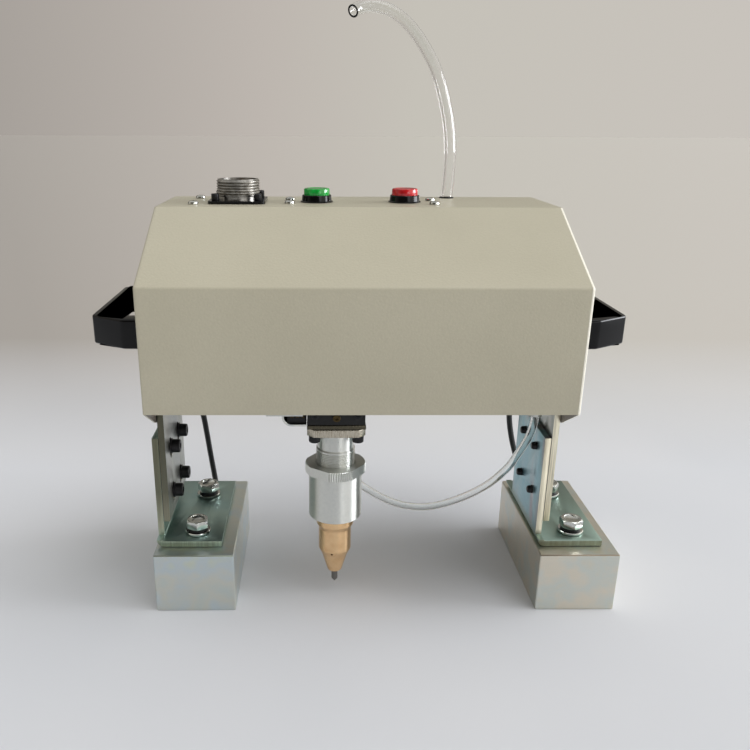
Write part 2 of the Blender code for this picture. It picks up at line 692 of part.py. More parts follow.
def make_block(side, block_x):
    """A steel block with its coil set in a groove in the underside and a cable gland at the back."""
    low = (block_x, BLOCK_FRONT_Y, 0)
    high = (block_x + BLOCK_WIDTH, BLOCK_FRONT_Y + BLOCK_LENGTH, BLOCK_HEIGHT)
    outline = chamfered(low, high, BLOCK_CORNER)
    block = eased_prism(f"{side}_magnet_block", outline, 2, low[2], high[2], BLOCK_CORNER)
    finish(block, "zinc")
    groove_low = [low[0] + COIL_MARGIN, low[1] + COIL_MARGIN]
    groove_high = [high[0] - COIL_MARGIN, high[1] - COIL_MARGIN]
    cut(block, coil_ring(f"{side}_groove", groove_low, groove_high, COIL_BAND, -OVERRUN, COIL_DEPTH))
    coil_low = [value + GAP for value in groove_low]
    coil_high = [value - GAP for value in groove_high]
    coil = coil_ring(
        f"{side}_magnet_coil", coil_low, coil_high, COIL_BAND - 2 * GAP, COIL_RECESS, COIL_DEPTH - GAP
    )
    finish(coil, "resin")
    middle_x = block_x + BLOCK_WIDTH / 2
    stem_low = high[1] - GLAND_STEM_LENGTH
    hole = rod(
        f"{side}_gland_hole", GLAND_STEM / 2 + GAP, (middle_x, 0, GLAND_HEIGHT), stem_low - GAP,
        high[1] + OVERRUN, axis=1, steps=SMALL_STEPS,
    )
    cut(block, hole)
    gland_face = high[1] + GAP
    profile = [
        (0, stem_low), (GLAND_STEM / 2, stem_low), (GLAND_STEM / 2, gland_face),
        (GLAND_DIAMETER / 2, gland_face), (GLAND_DIAMETER / 2, gland_face + GLAND_LENGTH - GAP),
        (0, gland_face + GLAND_LENGTH - GAP),
    ]
    gland = turned(f"{side}_cable_gland", profile, (middle_x, 0, GLAND_HEIGHT), axis=1, steps=SMALL_STEPS)
    finish(gland, "black plastic")
    for i, bolt_y in enumerate(foot_bolt_places()):
        hole = rod(
            f"{side}_tapped_hole_{i}", FOOT_BOLT / 2 + GAP, (middle_x, bolt_y, 0),
            LEG_TOP_Z - FOOT_BOLT_LENGTH, BLOCK_HEIGHT + OVERRUN, steps=SMALL_STEPS,
        )
        cut(block, hole)


def coil_ring(name, low, high, band, bottom, top):
    """A rectangular ring with an inner opening."""
    ring = prism(name, rectangle(low, high), 2, bottom, top)
    inner_low = [value + band for value in low]
    inner_high = [value - band for value in high]
    inner = prism(name + "_inside", rectangle(inner_low, inner_high), 2, bottom - OVERRUN, top + OVERRUN)
    cut(ring, inner)
    return ring


def foot_bolt_places():
    """Where the two bolts of a foot stand, front and back."""
    front = BLOCK_FRONT_Y + FOOT_BOLT_SETBACK
    return (front, front + FOOT_BOLT_SPACING)


def make_bracket(side, x):
    """An angle bent from plate: the leg lies on the block and the narrower upright takes the clamp screws."""
    leg_front = BLOCK_FRONT_Y + LEG_SETBACK
    leg_back = leg_front + LEG_LENGTH
    inner = LEG_BEND - PLATE
    bend = (x + LEG_BEND, LEG_Z + LEG_BEND)
    outline = [(x, BRACKET_TOP_Z)]
    outline += arc(bend, LEG_BEND, math.pi, math.pi * 1.5)
    outline += [(x + LEG_WIDTH, LEG_Z), (x + LEG_WIDTH, LEG_TOP_Z)]
    outline += arc(bend, inner, math.pi * 1.5, math.pi)
    outline += [(x + PLATE, BRACKET_TOP_Z)]
    bracket = prism(f"{side}_foot_bracket", outline, 1, leg_front, leg_back, smooth=True)
    finish(bracket, "zinc")
    relief_low = LEG_Z + LEG_BEND
    for name, low_y, high_y in (
        ("front", leg_front - OVERRUN, TONGUE_FRONT_Y),
        ("back", TONGUE_BACK_Y, leg_back + OVERRUN),
    ):
        relief = box(
            f"{side}_{name}_relief", (x - OVERRUN, low_y, relief_low),
            (x + PLATE + OVERRUN, high_y, BRACKET_TOP_Z + OVERRUN),
        )
        cut(bracket, relief)
    for i, (hole_y, hole_z) in enumerate(clamp_places()):
        hole = rod(
            f"{side}_clamp_hole_{i}", CLAMP_SCREW / 2 + GAP, (0, hole_y, hole_z), x - OVERRUN,
            x + PLATE + OVERRUN, axis=0, steps=SMALL_STEPS,
        )
        cut(bracket, hole)
    bolt_x = x - BRACKET_INSET + BLOCK_WIDTH / 2
    for i, bolt_y in enumerate(foot_bolt_places()):
        hole = rod(
            f"{side}_leg_hole_{i}", FOOT_BOLT / 2 + GAP, (bolt_x, bolt_y, 0), LEG_Z - OVERRUN,
            LEG_TOP_Z + OVERRUN, steps=SMALL_STEPS,
        )
        cut(bracket, hole)


def make_foot_bolts(side, x):
    """Hex bolts with their lock washer and plain washer held captive under the head."""
    for place_name, y in zip(("front", "back"), foot_bolt_places()):
        washer_z = LEG_TOP_Z + GAP
        lock_z = washer_z + FOOT_WASHER_HEIGHT
        head_z = lock_z + LOCK_WASHER_HEIGHT
        shank_z = LEG_TOP_Z - FOOT_BOLT_LENGTH + FOOT_BOLT_HEAD
        profile = [
            (0, shank_z), (FOOT_BOLT / 2, shank_z), (FOOT_BOLT / 2, washer_z), (FOOT_WASHER / 2, washer_z),
            (FOOT_WASHER / 2, lock_z), (LOCK_WASHER / 2, lock_z), (LOCK_WASHER / 2, head_z), (0, head_z),
        ]
        bolt = turned(f"{side}_{place_name}_foot_bolt", profile, (x, y, 0), steps=SMALL_STEPS)
        head = prism(
            f"{side}_{place_name}_bolt_head", hexagon((x, y), FOOT_BOLT_ACROSS), 2,
            head_z - GAP, head_z + FOOT_BOLT_HEAD,
        )
        fuse(bolt, head)
        finish(bolt, "steel")


def clamp_places():
    """The four clamp screws of a foot, as (y, z)."""
    return [(y, z) for z in CLAMP_ROWS_Z for y in CLAMP_ROWS_Y]


def make_clamp_screws(side, bracket_x):
    """Socket head screws through the frame plate's slots into the bracket, heads toward the plate."""
    head_side = bracket_x + PLATE + GAP + PLATE + GAP
    tip = bracket_x - CLAMP_END if side == "right" else bracket_x
    head_height = CLAMP_LOW_HEAD if side == "right" else CLAMP_HEAD_HEIGHT
    for i, (y, z) in enumerate(clamp_places()):
        washer_out = head_side + CLAMP_WASHER_HEIGHT
        head_out = washer_out + head_height
        profile = [
            (0, tip), (CLAMP_SCREW / 2, tip), (CLAMP_SCREW / 2, head_side),
            (CLAMP_WASHER / 2, head_side), (CLAMP_WASHER / 2, washer_out),
            (CLAMP_HEAD / 2, washer_out), (CLAMP_HEAD / 2, head_out), (0, head_out),
        ]
        screw = turned(f"{side}_clamp_screw_{i + 1}", profile, (0, y, z), axis=0, steps=SMALL_STEPS)
        key_floor = head_out - head_height * KEY_DEPTH_SHARE
        key = prism(
            f"{side}_clamp_key_{i}", hexagon((y, z), HEX_KEY), 0, key_floor, head_out + OVERRUN
        )
        cut(screw, key)
        finish(screw, "black oxide")


def make_frame():
    """The two frame plates, the plate that joins them with the X motor's bracket, and the X rail."""
    for side, low_x in (("left", -FRAME_OUTER_X), ("right", FRAME_INNER_X)):
        upper_z = CASE_Z - SKIRT_DROP + FRAME_ABOVE_EDGE
        outline = [
            (TONGUE_FRONT_Y, TONGUE_Z), (TONGUE_BACK_Y, TONGUE_Z), (TONGUE_BACK_Y, upper_z),
            (FRAME_BACK_Y, upper_z), (FRAME_BACK_Y, FRAME_TOP_Z), (TONGUE_FRONT_Y, FRAME_TOP_Z),
        ]
        plate = prism(f"{side}_frame_plate", outline, 0, low_x, low_x + PLATE)
        finish(plate, "zinc")
        for i, (y, z) in enumerate(clamp_places()):
            radius = SLOT_WIDTH / 2
            top = arc((y, z + SLOT_ABOVE), radius, 0, math.pi)
            bottom = arc((y, z - SLOT_BELOW), radius, math.pi, 2 * math.pi)
            slot = prism(f"{side}_slot_{i}", top + bottom, 0, low_x - OVERRUN, low_x + PLATE + OVERRUN)
            cut(plate, slot)
        inward = 1 if side == "left" else -1
        face = low_x + PLATE if side == "left" else low_x
        near, far = sorted((face - inward * GAP, face + inward * CABLE_BLOCK))
        clamp = box(
            f"{side}_cable_clamp", (near, FRAME_CLAMP_Y, upper_z),
            (far, FRAME_CLAMP_Y + CABLE_BLOCK, upper_z + CABLE_BLOCK_HEIGHT),
        )
        fuse(plate, clamp)
        if side == "right":
            bearing = box(
                "x_bearing",
                (FRAME_INNER_X - BEARING_WALL, X_SCREW_Y - NUT_SIZE / 2, X_SCREW_Z - NUT_SIZE / 2),
                (FRAME_INNER_X + GAP, X_SCREW_Y + NUT_SIZE / 2, X_SCREW_Z + NUT_SIZE / 2),
            )
            fuse(plate, bearing)
            hole = rod(
                "x_bearing_hole", SCREW_DIAMETER / 2 + RUNNING_GAP, (0, X_SCREW_Y, X_SCREW_Z),
                FRAME_INNER_X - BEARING_WALL - OVERRUN, FRAME_INNER_X, axis=0, steps=SMALL_STEPS,
            )
            cut(plate, hole)
    top = box(
        "top_plate", (-FRAME_INNER_X + GAP, TONGUE_FRONT_Y, TOP_PLATE_Z),
        (FRAME_INNER_X - GAP, TONGUE_BACK_Y, TOP_PLATE_Z + TOP_PLATE),
    )
    wall_low = X_MOTOR_RIGHT_X + GAP
    wall = box(
        "x_motor_wall", (wall_low, TONGUE_BACK_Y - GAP, X_SCREW_Z - MOTOR_SIZE / 2),
        (wall_low + DRIVE_WALL, X_SCREW_Y + MOTOR_SIZE / 2, TOP_PLATE_Z + TOP_PLATE),
    )
    fuse(top, wall)
    hole = rod(
        "x_motor_hole", MOTOR_BOSS / 2 + GAP, (0, X_SCREW_Y, X_SCREW_Z), wall_low - OVERRUN,
        wall_low + DRIVE_WALL + OVERRUN, axis=0, steps=ROUND_STEPS,
    )
    cut(top, hole)
    finish(top, "aluminium")
    rail = prism(
        "x_rail", rail_outline(X_GUIDE_Y, X_RAIL_TOP_Z), 0, -FRAME_INNER_X + GAP, FRAME_INNER_X - GAP
    )
    finish(rail, "steel")


def rail_outline(middle, top):
    """A guide rail hung from its base: a narrow waist over a full-width running edge."""
    half = RAIL_WIDTH / 2
    waist = half - RAIL_WAIST
    bottom = top - RAIL_HEIGHT
    upper_share, lower_share = RAIL_NOTCH_SHARES
    upper = top - RAIL_HEIGHT * upper_share
    lower = top - RAIL_HEIGHT * lower_share
    return [
        (middle - half, top), (middle - half, upper), (middle - waist, upper), (middle - waist, lower),
        (middle - half, lower), (middle - half, bottom), (middle + half, bottom), (middle + half, lower),
        (middle + waist, lower), (middle + waist, upper), (middle + half, upper), (middle + half, top),
    ]


def guide_outline(middle, face):
    """A guide block seen from its end: a channel round the rail, with its mounting face down."""
    half = GUIDE_WIDTH / 2
    slot = GUIDE_SLOT / 2
    top = face + GUIDE_HEIGHT
    floor = face + GUIDE_STACK - RAIL_HEIGHT - RUNNING_GAP
    return [
        (middle - half, face), (middle + half, face), (middle + half, top), (middle + slot, top),
        (middle + slot, floor), (middle - slot, floor), (middle - slot, top), (middle - half, top),
    ]


def motor(name, centre, low, axis):
    """A square stepper motor with a round boss on its front and a bore for the screw."""
    half = MOTOR_SIZE / 2
    outline = chamfered(
        [value - half for value in centre], [value + half for value in centre], MOTOR_CORNER
    )
    body = prism(name, outline, axis, low, low + MOTOR_LENGTH)
    return body


def make_drives():
    """Motors and screws of both axes."""
    body = motor("x_motor", (X_SCREW_Y, X_SCREW_Z), X_MOTOR_LEFT_X, 0)
    boss = rod(
        "x_motor_boss", MOTOR_BOSS / 2, (0, X_SCREW_Y, X_SCREW_Z), X_MOTOR_RIGHT_X - GAP,
        X_MOTOR_RIGHT_X + MOTOR_BOSS_HEIGHT, axis=0,
    )
    fuse(body, boss)
    hole = rod(
        "x_motor_bore", SCREW_DIAMETER / 2 + RUNNING_GAP, (0, X_SCREW_Y, X_SCREW_Z),
        X_MOTOR_RIGHT_X - MOTOR_BORE_DEPTH, X_MOTOR_RIGHT_X + MOTOR_BOSS_HEIGHT + OVERRUN, axis=0,
        steps=SMALL_STEPS,
    )
    cut(body, hole)
    finish(body, "black oxide")
    screw = rod(
        "x_screw", SCREW_DIAMETER / 2, (0, X_SCREW_Y, X_SCREW_Z), X_MOTOR_RIGHT_X - MOTOR_BORE_DEPTH + GAP,
        FRAME_INNER_X - GAP, axis=0, steps=SMALL_STEPS,
    )
    finish(screw, "steel")
    body = motor("y_motor", (Y_SCREW_X, Y_SCREW_Z), Y_MOTOR_FRONT_Y, 1)
    boss = rod(
        "y_motor_boss", MOTOR_BOSS / 2, (Y_SCREW_X, 0, Y_SCREW_Z), Y_MOTOR_FRONT_Y - MOTOR_BOSS_HEIGHT,
        Y_MOTOR_FRONT_Y + GAP, axis=1,
    )
    fuse(body, boss)
    hole = rod(
        "y_motor_bore", SCREW_DIAMETER / 2 + RUNNING_GAP, (Y_SCREW_X, 0, Y_SCREW_Z),
        Y_MOTOR_FRONT_Y - MOTOR_BOSS_HEIGHT - OVERRUN, Y_MOTOR_FRONT_Y + MOTOR_BORE_DEPTH, axis=1,
        steps=SMALL_STEPS,
    )
    cut(body, hole)
    finish(body, "black oxide")
    screw = rod(
        "y_screw", SCREW_DIAMETER / 2, (Y_SCREW_X, 0, Y_SCREW_Z), BEAM_FRONT_Y + GAP,
        Y_MOTOR_FRONT_Y + MOTOR_BORE_DEPTH - GAP, axis=1, steps=SMALL_STEPS,
    )
    finish(screw, "steel")


def make_x_carriage():
    """The X guide block and the beam below it, with its nut, the Y rail and the Y screw's supports."""
    middle_x = GUIDE_X
    block = prism(
        "x_carriage", guide_outline(X_GUIDE_Y, X_FACE_Z), 0, middle_x - GUIDE_LENGTH / 2,
        middle_x + GUIDE_LENGTH / 2,
    )
    finish(block, "steel")
    half = BEAM_WIDTH / 2
    beam = box(
        "y_beam", (middle_x - half, BEAM_FRONT_Y, BEAM_Z), (middle_x + half, BEAM_BACK_Y, BEAM_TOP_Z)
    )
    nut = box(
        "x_nut", (middle_x - NUT_LENGTH / 2, X_SCREW_Y - NUT_SIZE / 2, BEAM_TOP_Z - GAP),
        (middle_x + NUT_LENGTH / 2, X_SCREW_Y + NUT_SIZE / 2, X_SCREW_Z + NUT_SIZE / 2),
    )
    wall_back = Y_MOTOR_FRONT_Y - GAP
    wall = box(
        "y_motor_wall", (Y_SCREW_X - MOTOR_SIZE / 2, wall_back - DRIVE_WALL, Y_SCREW_Z - MOTOR_SIZE / 2),
        (middle_x - half + GAP, wall_back, BEAM_TOP_Z),
    )
    bearing = box(
        "y_bearing", (Y_SCREW_X - NUT_SIZE / 2, BEAM_FRONT_Y, Y_SCREW_Z - NUT_SIZE / 2),
        (middle_x - half + GAP, BEAM_FRONT_Y + BEARING_WALL, BEAM_TOP_Z),
    )
    fuse(beam, nut, wall, bearing)
    x_hole = rod(
        "x_nut_hole", SCREW_DIAMETER / 2 + RUNNING_GAP, (0, X_SCREW_Y, X_SCREW_Z),
        middle_x - NUT_LENGTH, middle_x + NUT_LENGTH, axis=0, steps=SMALL_STEPS,
    )
    y_hole = rod(
        "y_bearing_hole", SCREW_DIAMETER / 2 + RUNNING_GAP, (Y_SCREW_X, 0, Y_SCREW_Z),
        BEAM_FRONT_Y - OVERRUN, BEAM_FRONT_Y + BEARING_WALL + OVERRUN, axis=1, steps=SMALL_STEPS,
    )
    boss_hole = rod(
        "y_wall_hole", MOTOR_BOSS / 2 + GAP, (Y_SCREW_X, 0, Y_SCREW_Z), wall_back - DRIVE_WALL - OVERRUN,
        wall_back + OVERRUN, axis=1, steps=ROUND_STEPS,
    )
    cut(beam, x_hole, y_hole, boss_hole)
    finish(beam, "aluminium")
    rail = prism(
        "y_rail", rail_outline(middle_x, Y_RAIL_TOP_Z), 1, SHEET + RAIL_END_GAP,
        CASE_DEPTH - SHEET - RAIL_END_GAP,
    )
    finish(rail, "steel")


def make_y_carriage():
    """The Y guide block with its nut and black end cap, the plate under it and the home switch."""
    front = CARRIAGE_FRONT_Y + END_CAP + GAP
    back = CARRIAGE_FRONT_Y + GUIDE_LENGTH
    block = prism("y_carriage", guide_outline(GUIDE_X, FACE_Z), 1, front, back)
    nut_front = CARRIAGE_FRONT_Y + END_CAP + Y_NUT_SETBACK
    nut = box(
        "y_nut", (Y_SCREW_X - NUT_SIZE / 2, nut_front, Y_SCREW_Z - NUT_SIZE / 2),
        (GUIDE_X - GUIDE_WIDTH / 2 + GAP, nut_front + NUT_LENGTH, FACE_Z + GUIDE_HEIGHT),
    )
    fuse(block, nut)
    hole = rod(
        "y_nut_hole", SCREW_DIAMETER / 2 + RUNNING_GAP, (Y_SCREW_X, 0, Y_SCREW_Z), nut_front - OVERRUN,
        nut_front + NUT_LENGTH + OVERRUN, axis=1, steps=SMALL_STEPS,
    )
    cut(block, hole)
    finish(block, "steel")
    cap = prism(
        "y_carriage_end_cap", guide_outline(GUIDE_X, FACE_Z), 1, CARRIAGE_FRONT_Y, CARRIAGE_FRONT_Y + END_CAP
    )
    finish(cap, "black plastic")
    adapter_front = STYLUS_Y - FLANGE_SIZE / 2
    adapter = box(
        "adapter_plate", (STYLUS_X - FLANGE_SIZE / 2, adapter_front, FLANGE_TOP_Z + GAP),
        (STYLUS_X + FLANGE_SIZE / 2, adapter_front + ADAPTER_LENGTH, FACE_Z - GAP),
    )
    finish(adapter, "black oxide")
    make_home_switch()


def make_home_switch():
    """A small switch on a folded sheet tray beside the guide block."""
    right = GUIDE_X - FLANGE_SIZE / 2 - GAP
    left = right - SWITCH_TRAY_WIDTH
    bottom = FACE_Z - SWITCH_TRAY_DROP
    top = bottom + SWITCH_TRAY_HEIGHT
    tray = bent_strip(
        [(right, bottom), (left, bottom), (left, top)], SWITCH_TRAY_RADIUS, SWITCH_TRAY_SHEET
    )
    switch = prism(
        "home_switch", tray, 1, SWITCH_TRAY_FRONT_Y, SWITCH_TRAY_FRONT_Y + SWITCH_TRAY_DEPTH, smooth=True
    )
    body = box(
        "switch_body",
        (left + SWITCH_TRAY_RADIUS / 2, SWITCH_TRAY_FRONT_Y + SWITCH_BODY_INSET,
         bottom + SWITCH_TRAY_SHEET / 2),
        (right - GAP, SWITCH_TRAY_FRONT_Y + SWITCH_TRAY_DEPTH - SWITCH_BODY_INSET,
         bottom + SWITCH_TRAY_SHEET + SWITCH_BODY_HEIGHT),
    )
    fuse(switch, body)
    finish(switch, "black plastic")


def make_stylus():
    """Cylinder, elbow, knurled sleeve, brass nozzle, pin with its piston, and the return spring."""
    axis = (STYLUS_X, STYLUS_Y, 0)
    make_cylinder(axis)
    make_sleeve(axis)
    make_nozzle(axis)
    make_pin(axis)


def make_cylinder(axis):
    """Square flange, plain neck and threaded end, bored for air, with a port in the back of the neck."""
    thread_low = RING_TOP_Z - THREAD_HIDDEN
    radius = THREAD_DIAMETER / 2
    air_top = FLANGE_Z + FLANGE_HEIGHT / 2
    shown_low = RING_TOP_Z - THREAD_PITCH
    profile = [(AIR_BORE / 2, thread_low), (radius, thread_low), (radius, shown_low)]
    profile += threaded(radius, THREAD_DEPTH, THREAD_PITCH, shown_low, NECK_Z)
    profile += [(NECK_DIAMETER / 2, NECK_Z), (NECK_DIAMETER / 2, air_top), (AIR_BORE / 2, air_top)]
    cylinder = turned("stylus_cylinder", profile, axis, steps=ROUND_STEPS)
    half = FLANGE_SIZE / 2
    flange = prism(
        "stylus_flange",
        chamfered((STYLUS_X - half, STYLUS_Y - half), (STYLUS_X + half, STYLUS_Y + half), FLANGE_CORNER),
        2, FLANGE_Z, FLANGE_TOP_Z,
    )
    fuse(cylinder, flange)
    port_z = FLANGE_Z - ELBOW_BELOW_FLANGE
    port = rod(
        "air_port", PORT_DIAMETER / 2, (STYLUS_X, 0, port_z), STYLUS_Y, STYLUS_Y + NECK_DIAMETER,
        axis=1, steps=SMALL_STEPS,
    )
    cut(cylinder, port)
    finish(cylinder, "aluminium")
    elbow_start = STYLUS_Y + NECK_DIAMETER / 2 + GAP
    elbow_y = elbow_start + ELBOW_REACH - GAP
    elbow = rod(
        "air_elbow", ELBOW_DIAMETER / 2, (STYLUS_X, elbow_y, 0), port_z - ELBOW_DROP,
        port_z + ELBOW_STEM / 2, steps=SMALL_STEPS,
    )
    stem = rod(
        "elbow_stem", ELBOW_STEM / 2, (STYLUS_X, 0, port_z), elbow_start, elbow_y, axis=1, steps=SMALL_STEPS
    )
    fuse(elbow, stem)
    finish(elbow, "black plastic")


def make_sleeve(axis):
    """Sleeve that turns on the thread: a ring with spanner flats above a plain barrel."""
    bore = THREAD_DIAMETER / 2 + GAP
    neck = NOZZLE_NECK_DIAMETER / 2 + GAP
    floor = SLEEVE_END_Z + SLEEVE_FLOOR
    profile = [
        (neck, SLEEVE_END_Z), (SLEEVE_END_DIAMETER / 2, SLEEVE_END_Z), (SLEEVE_DIAMETER / 2, SLEEVE_BODY_Z),
        (SLEEVE_DIAMETER / 2, RING_Z), (RING_DIAMETER / 2, RING_Z), (RING_DIAMETER / 2, RING_TOP_Z),
        (bore, RING_TOP_Z), (bore, floor), (neck, floor),
    ]
    sleeve = turned("knurled_sleeve", profile, axis, steps=FINE_STEPS)
    depths = (0, RING_FLAT_DEPTH + OVERRUN)
    for i in range(RING_FLAT_COUNT):
        turn = RING_FLAT_TURN + 2 * math.pi * i / RING_FLAT_COUNT
        outward = Vector((math.cos(turn), math.sin(turn)))
        across = Vector((-outward.y, outward.x)) * RING_DIAMETER / 2
        middle = Vector(axis[:2]) + outward * (RING_DIAMETER / 2 - RING_FLAT_DEPTH)
        near, far = (middle + outward * depth for depth in depths)
        corners = [tuple(near - across), tuple(near + across), tuple(far + across), tuple(far - across)]
        cut(sleeve, prism(f"ring_flat_{i}", corners, 2, RING_Z - GAP, RING_TOP_Z + OVERRUN))
    finish(sleeve, "aluminium")


def make_nozzle(axis):
    """Brass nozzle hung in the sleeve by its head, bored for the pin, piston and spring."""
    hole = PIN_DIAMETER / 2 + RUNNING_GAP / 2
    bore = NOZZLE_BORE / 2
    head_z = SLEEVE_END_Z + SLEEVE_FLOOR + GAP
    floor = NOZZLE_MOUTH_Z + NOZZLE_BORE_FLOOR
    top = head_z + NOZZLE_HEAD
    profile = [
        (hole, NOZZLE_MOUTH_Z), (NOZZLE_MOUTH / 2 - NOZZLE_LIP, NOZZLE_MOUTH_Z),
        (NOZZLE_MOUTH / 2, NOZZLE_MOUTH_Z + NOZZLE_LIP), (NOZZLE_CONE_DIAMETER / 2, NOZZLE_CONE_Z),
        (NOZZLE_DIAMETER / 2, NOZZLE_CHAMFER_Z), (NOZZLE_DIAMETER / 2, NOZZLE_BODY_Z),
        (NOZZLE_COLLAR_DIAMETER / 2, NOZZLE_FLARE_Z), (NOZZLE_COLLAR_DIAMETER / 2, NOZZLE_COLLAR_Z),
        (NOZZLE_NECK_DIAMETER / 2, NOZZLE_COLLAR_Z),
        (NOZZLE_NECK_DIAMETER / 2, head_z), (NOZZLE_HEAD_DIAMETER / 2, head_z),
        (NOZZLE_HEAD_DIAMETER / 2, top), (bore, top), (bore, floor), (hole, floor),
    ]
    nozzle = turned("nozzle", profile, axis, steps=ROUND_STEPS)
    finish(nozzle, "brass")
    vent_z = NOZZLE_CHAMFER_Z - VENT_BELOW_BODY
    vent = rod(
        "vent", VENT_DIAMETER / 2, (STYLUS_X - VENT_ASIDE, 0, vent_z), STYLUS_Y - NOZZLE_DIAMETER,
        STYLUS_Y - NOZZLE_BORE / 4, axis=1, steps=TINY_STEPS,
    )
    cut(nozzle, vent)


def make_pin(axis):
    """Carbide pin under its piston, held up by a coil spring."""
    radius = PIN_DIAMETER / 2
    piston_z = TIP_GAP + PIN_LENGTH
    piston_top = piston_z + PISTON_LENGTH
    profile = [
        (0, TIP_GAP), (radius, TIP_GAP + PIN_POINT), (radius, piston_z), (PISTON_DIAMETER / 2, piston_z),
        (PISTON_DIAMETER / 2, piston_top), (0, piston_top),
    ]
    pin = turned("marking_pin", profile, axis, steps=ROUND_STEPS)
    finish(pin, "carbide")
    low = NOZZLE_MOUTH_Z + NOZZLE_BORE_FLOOR + SPRING_WIRE / 2 + GAP
    high = piston_z - SPRING_WIRE / 2 - GAP
    steps = SPRING_TURNS * SPRING_STEPS
    points = []
    for i in range(steps + 1):
        turn = 2 * math.pi * i / SPRING_STEPS
        level = low + (high - low) * i / steps
        offset = Vector((math.cos(turn), math.sin(turn), 0)) * SPRING_DIAMETER / 2
        points.append(Vector((axis[0], axis[1], level)) + offset)
    tube("return_spring", points, SPRING_WIRE, "steel", resolution=0)


def make_case():
    """The folded cover, its two side sheets and both handles."""
    inner_x = CASE_WIDTH / 2 - SHEET - GAP
    path = [(0, CASE_Z), (0, FOLD_Z), (SLOPE_RUN, CASE_TOP_Z), (CASE_DEPTH, CASE_TOP_Z), (CASE_DEPTH, CASE_Z)]
    cover = prism(
        "cover_shell", bent_strip(path, BEND_RADIUS, SHEET), 0, -inner_x, inner_x, smooth=True
    )
    finish(cover, "paint")
    low = CASE_TOP_Z - SHEET - OVERRUN
    for name, x, y, diameter in (
        ("connector", CONNECTOR_X, FITTINGS_Y, CONNECTOR_BODY),
        ("green_switch", GREEN_X, FITTINGS_Y, SWITCH_BARREL),
        ("red_switch", RED_X, FITTINGS_Y, SWITCH_BARREL), ("inlet", INLET_X, INLET_Y, INLET_NOSE),
    ):
        hole = rod(f"{name}_hole", diameter / 2 + GAP, (x, y, 0), low, CASE_TOP_Z + OVERRUN)
        cut(cover, hole)
    skirt_z = CASE_Z - SKIRT_DROP
    outline = [
        (0, CASE_Z), (SKIRT_RUN, skirt_z), (CASE_DEPTH - SKIRT_RUN, skirt_z), (CASE_DEPTH, CASE_Z),
        (CASE_DEPTH, CASE_TOP_Z), (SLOPE_RUN, CASE_TOP_Z), (0, FOLD_Z),
    ]
    for side, x in (("left", -CASE_WIDTH / 2), ("right", CASE_WIDTH / 2 - SHEET)):
        sheet = prism(f"{side}_side_sheet", outline, 0, x, x + SHEET)
        finish(sheet, "paint")
        make_handle(side)


def make_handle(side):
    """A bridge handle: two tapering legs and a thin grip, standing out from a side sheet."""
    direction = -1 if side == "left" else 1
    base = CASE_WIDTH / 2 + GAP
    half = HANDLE_LENGTH / 2
    outer_corner = half - HANDLE_GRIP_INSET
    inner_end = half - HANDLE_FOOT
    shape = [
        (0, -half), (HANDLE_FOOT_REACH, -half), (HANDLE_REACH, -outer_corner), (HANDLE_REACH, outer_corner),
        (HANDLE_FOOT_REACH, half), (0, half), (0, inner_end),
        (HANDLE_REACH - HANDLE_GRIP, inner_end), (HANDLE_REACH - HANDLE_GRIP, -inner_end), (0, -inner_end),
    ]
    outline = [(direction * (base + out), HANDLE_CENTRE_Y + along) for out, along in shape]
    top = FOLD_Z - HANDLE_BELOW_FOLD
    handle = prism(f"{side}_handle", outline, 2, top - HANDLE_HEIGHT, top)
    finish(handle, "black plastic")


def make_connector():
    """A round threaded connector on a square flange, with a socket face inside."""
    half = CONNECTOR_FLANGE / 2
    base = CASE_TOP_Z + GAP
    flange_top = base + CONNECTOR_FLANGE_HEIGHT
    rim = CASE_TOP_Z + CONNECTOR_HEIGHT
    centre = (CONNECTOR_X, FITTINGS_Y, 0)
    radius = CONNECTOR_THREAD / 2
    bottom = CASE_TOP_Z - CONNECTOR_DEPTH
    profile = [(CONNECTOR_BORE / 2, bottom), (CONNECTOR_BODY / 2, bottom), (CONNECTOR_BODY / 2, base)]
    profile += [(radius - CONNECTOR_THREAD_DEPTH, base)]
    profile += threaded(
        radius, CONNECTOR_THREAD_DEPTH, CONNECTOR_THREAD_PITCH, flange_top + CONNECTOR_PLAIN, rim
    )
    profile += [(CONNECTOR_BORE / 2, rim)]
    shell = turned("connector_shell", profile, centre)
    outline = chamfered(
        (CONNECTOR_X - half, FITTINGS_Y - half), (CONNECTOR_X + half, FITTINGS_Y + half), CONNECTOR_CORNER
    )
    flange = prism("connector_flange", outline, 2, base, flange_top)
    inside = rod("flange_opening", CONNECTOR_BODY / 2 - GAP, centre, base - OVERRUN, flange_top + OVERRUN)
    cut(flange, inside)
    fuse(shell, flange)
    finish(shell, "nickel")
    face = rim - INSERT_BELOW_RIM
    insert = rod("connector_insert", CONNECTOR_BORE / 2 - GAP, centre, face - INSERT_HEIGHT, face)
    circle = CONNECTOR_BORE * CONTACT_CIRCLE_SHARE
    for i in range(CONTACT_COUNT):
        turn = 2 * math.pi * i / CONTACT_COUNT
        spot = (CONNECTOR_X + circle * math.cos(turn), FITTINGS_Y + circle * math.sin(turn), 0)
        contact = rod(
            f"contact_{i}", CONTACT_DIAMETER / 2, spot, face - GAP, face + CONTACT_HEIGHT,
            steps=TINY_STEPS,
        )
        fuse(insert, contact)
    finish(insert, "black plastic")


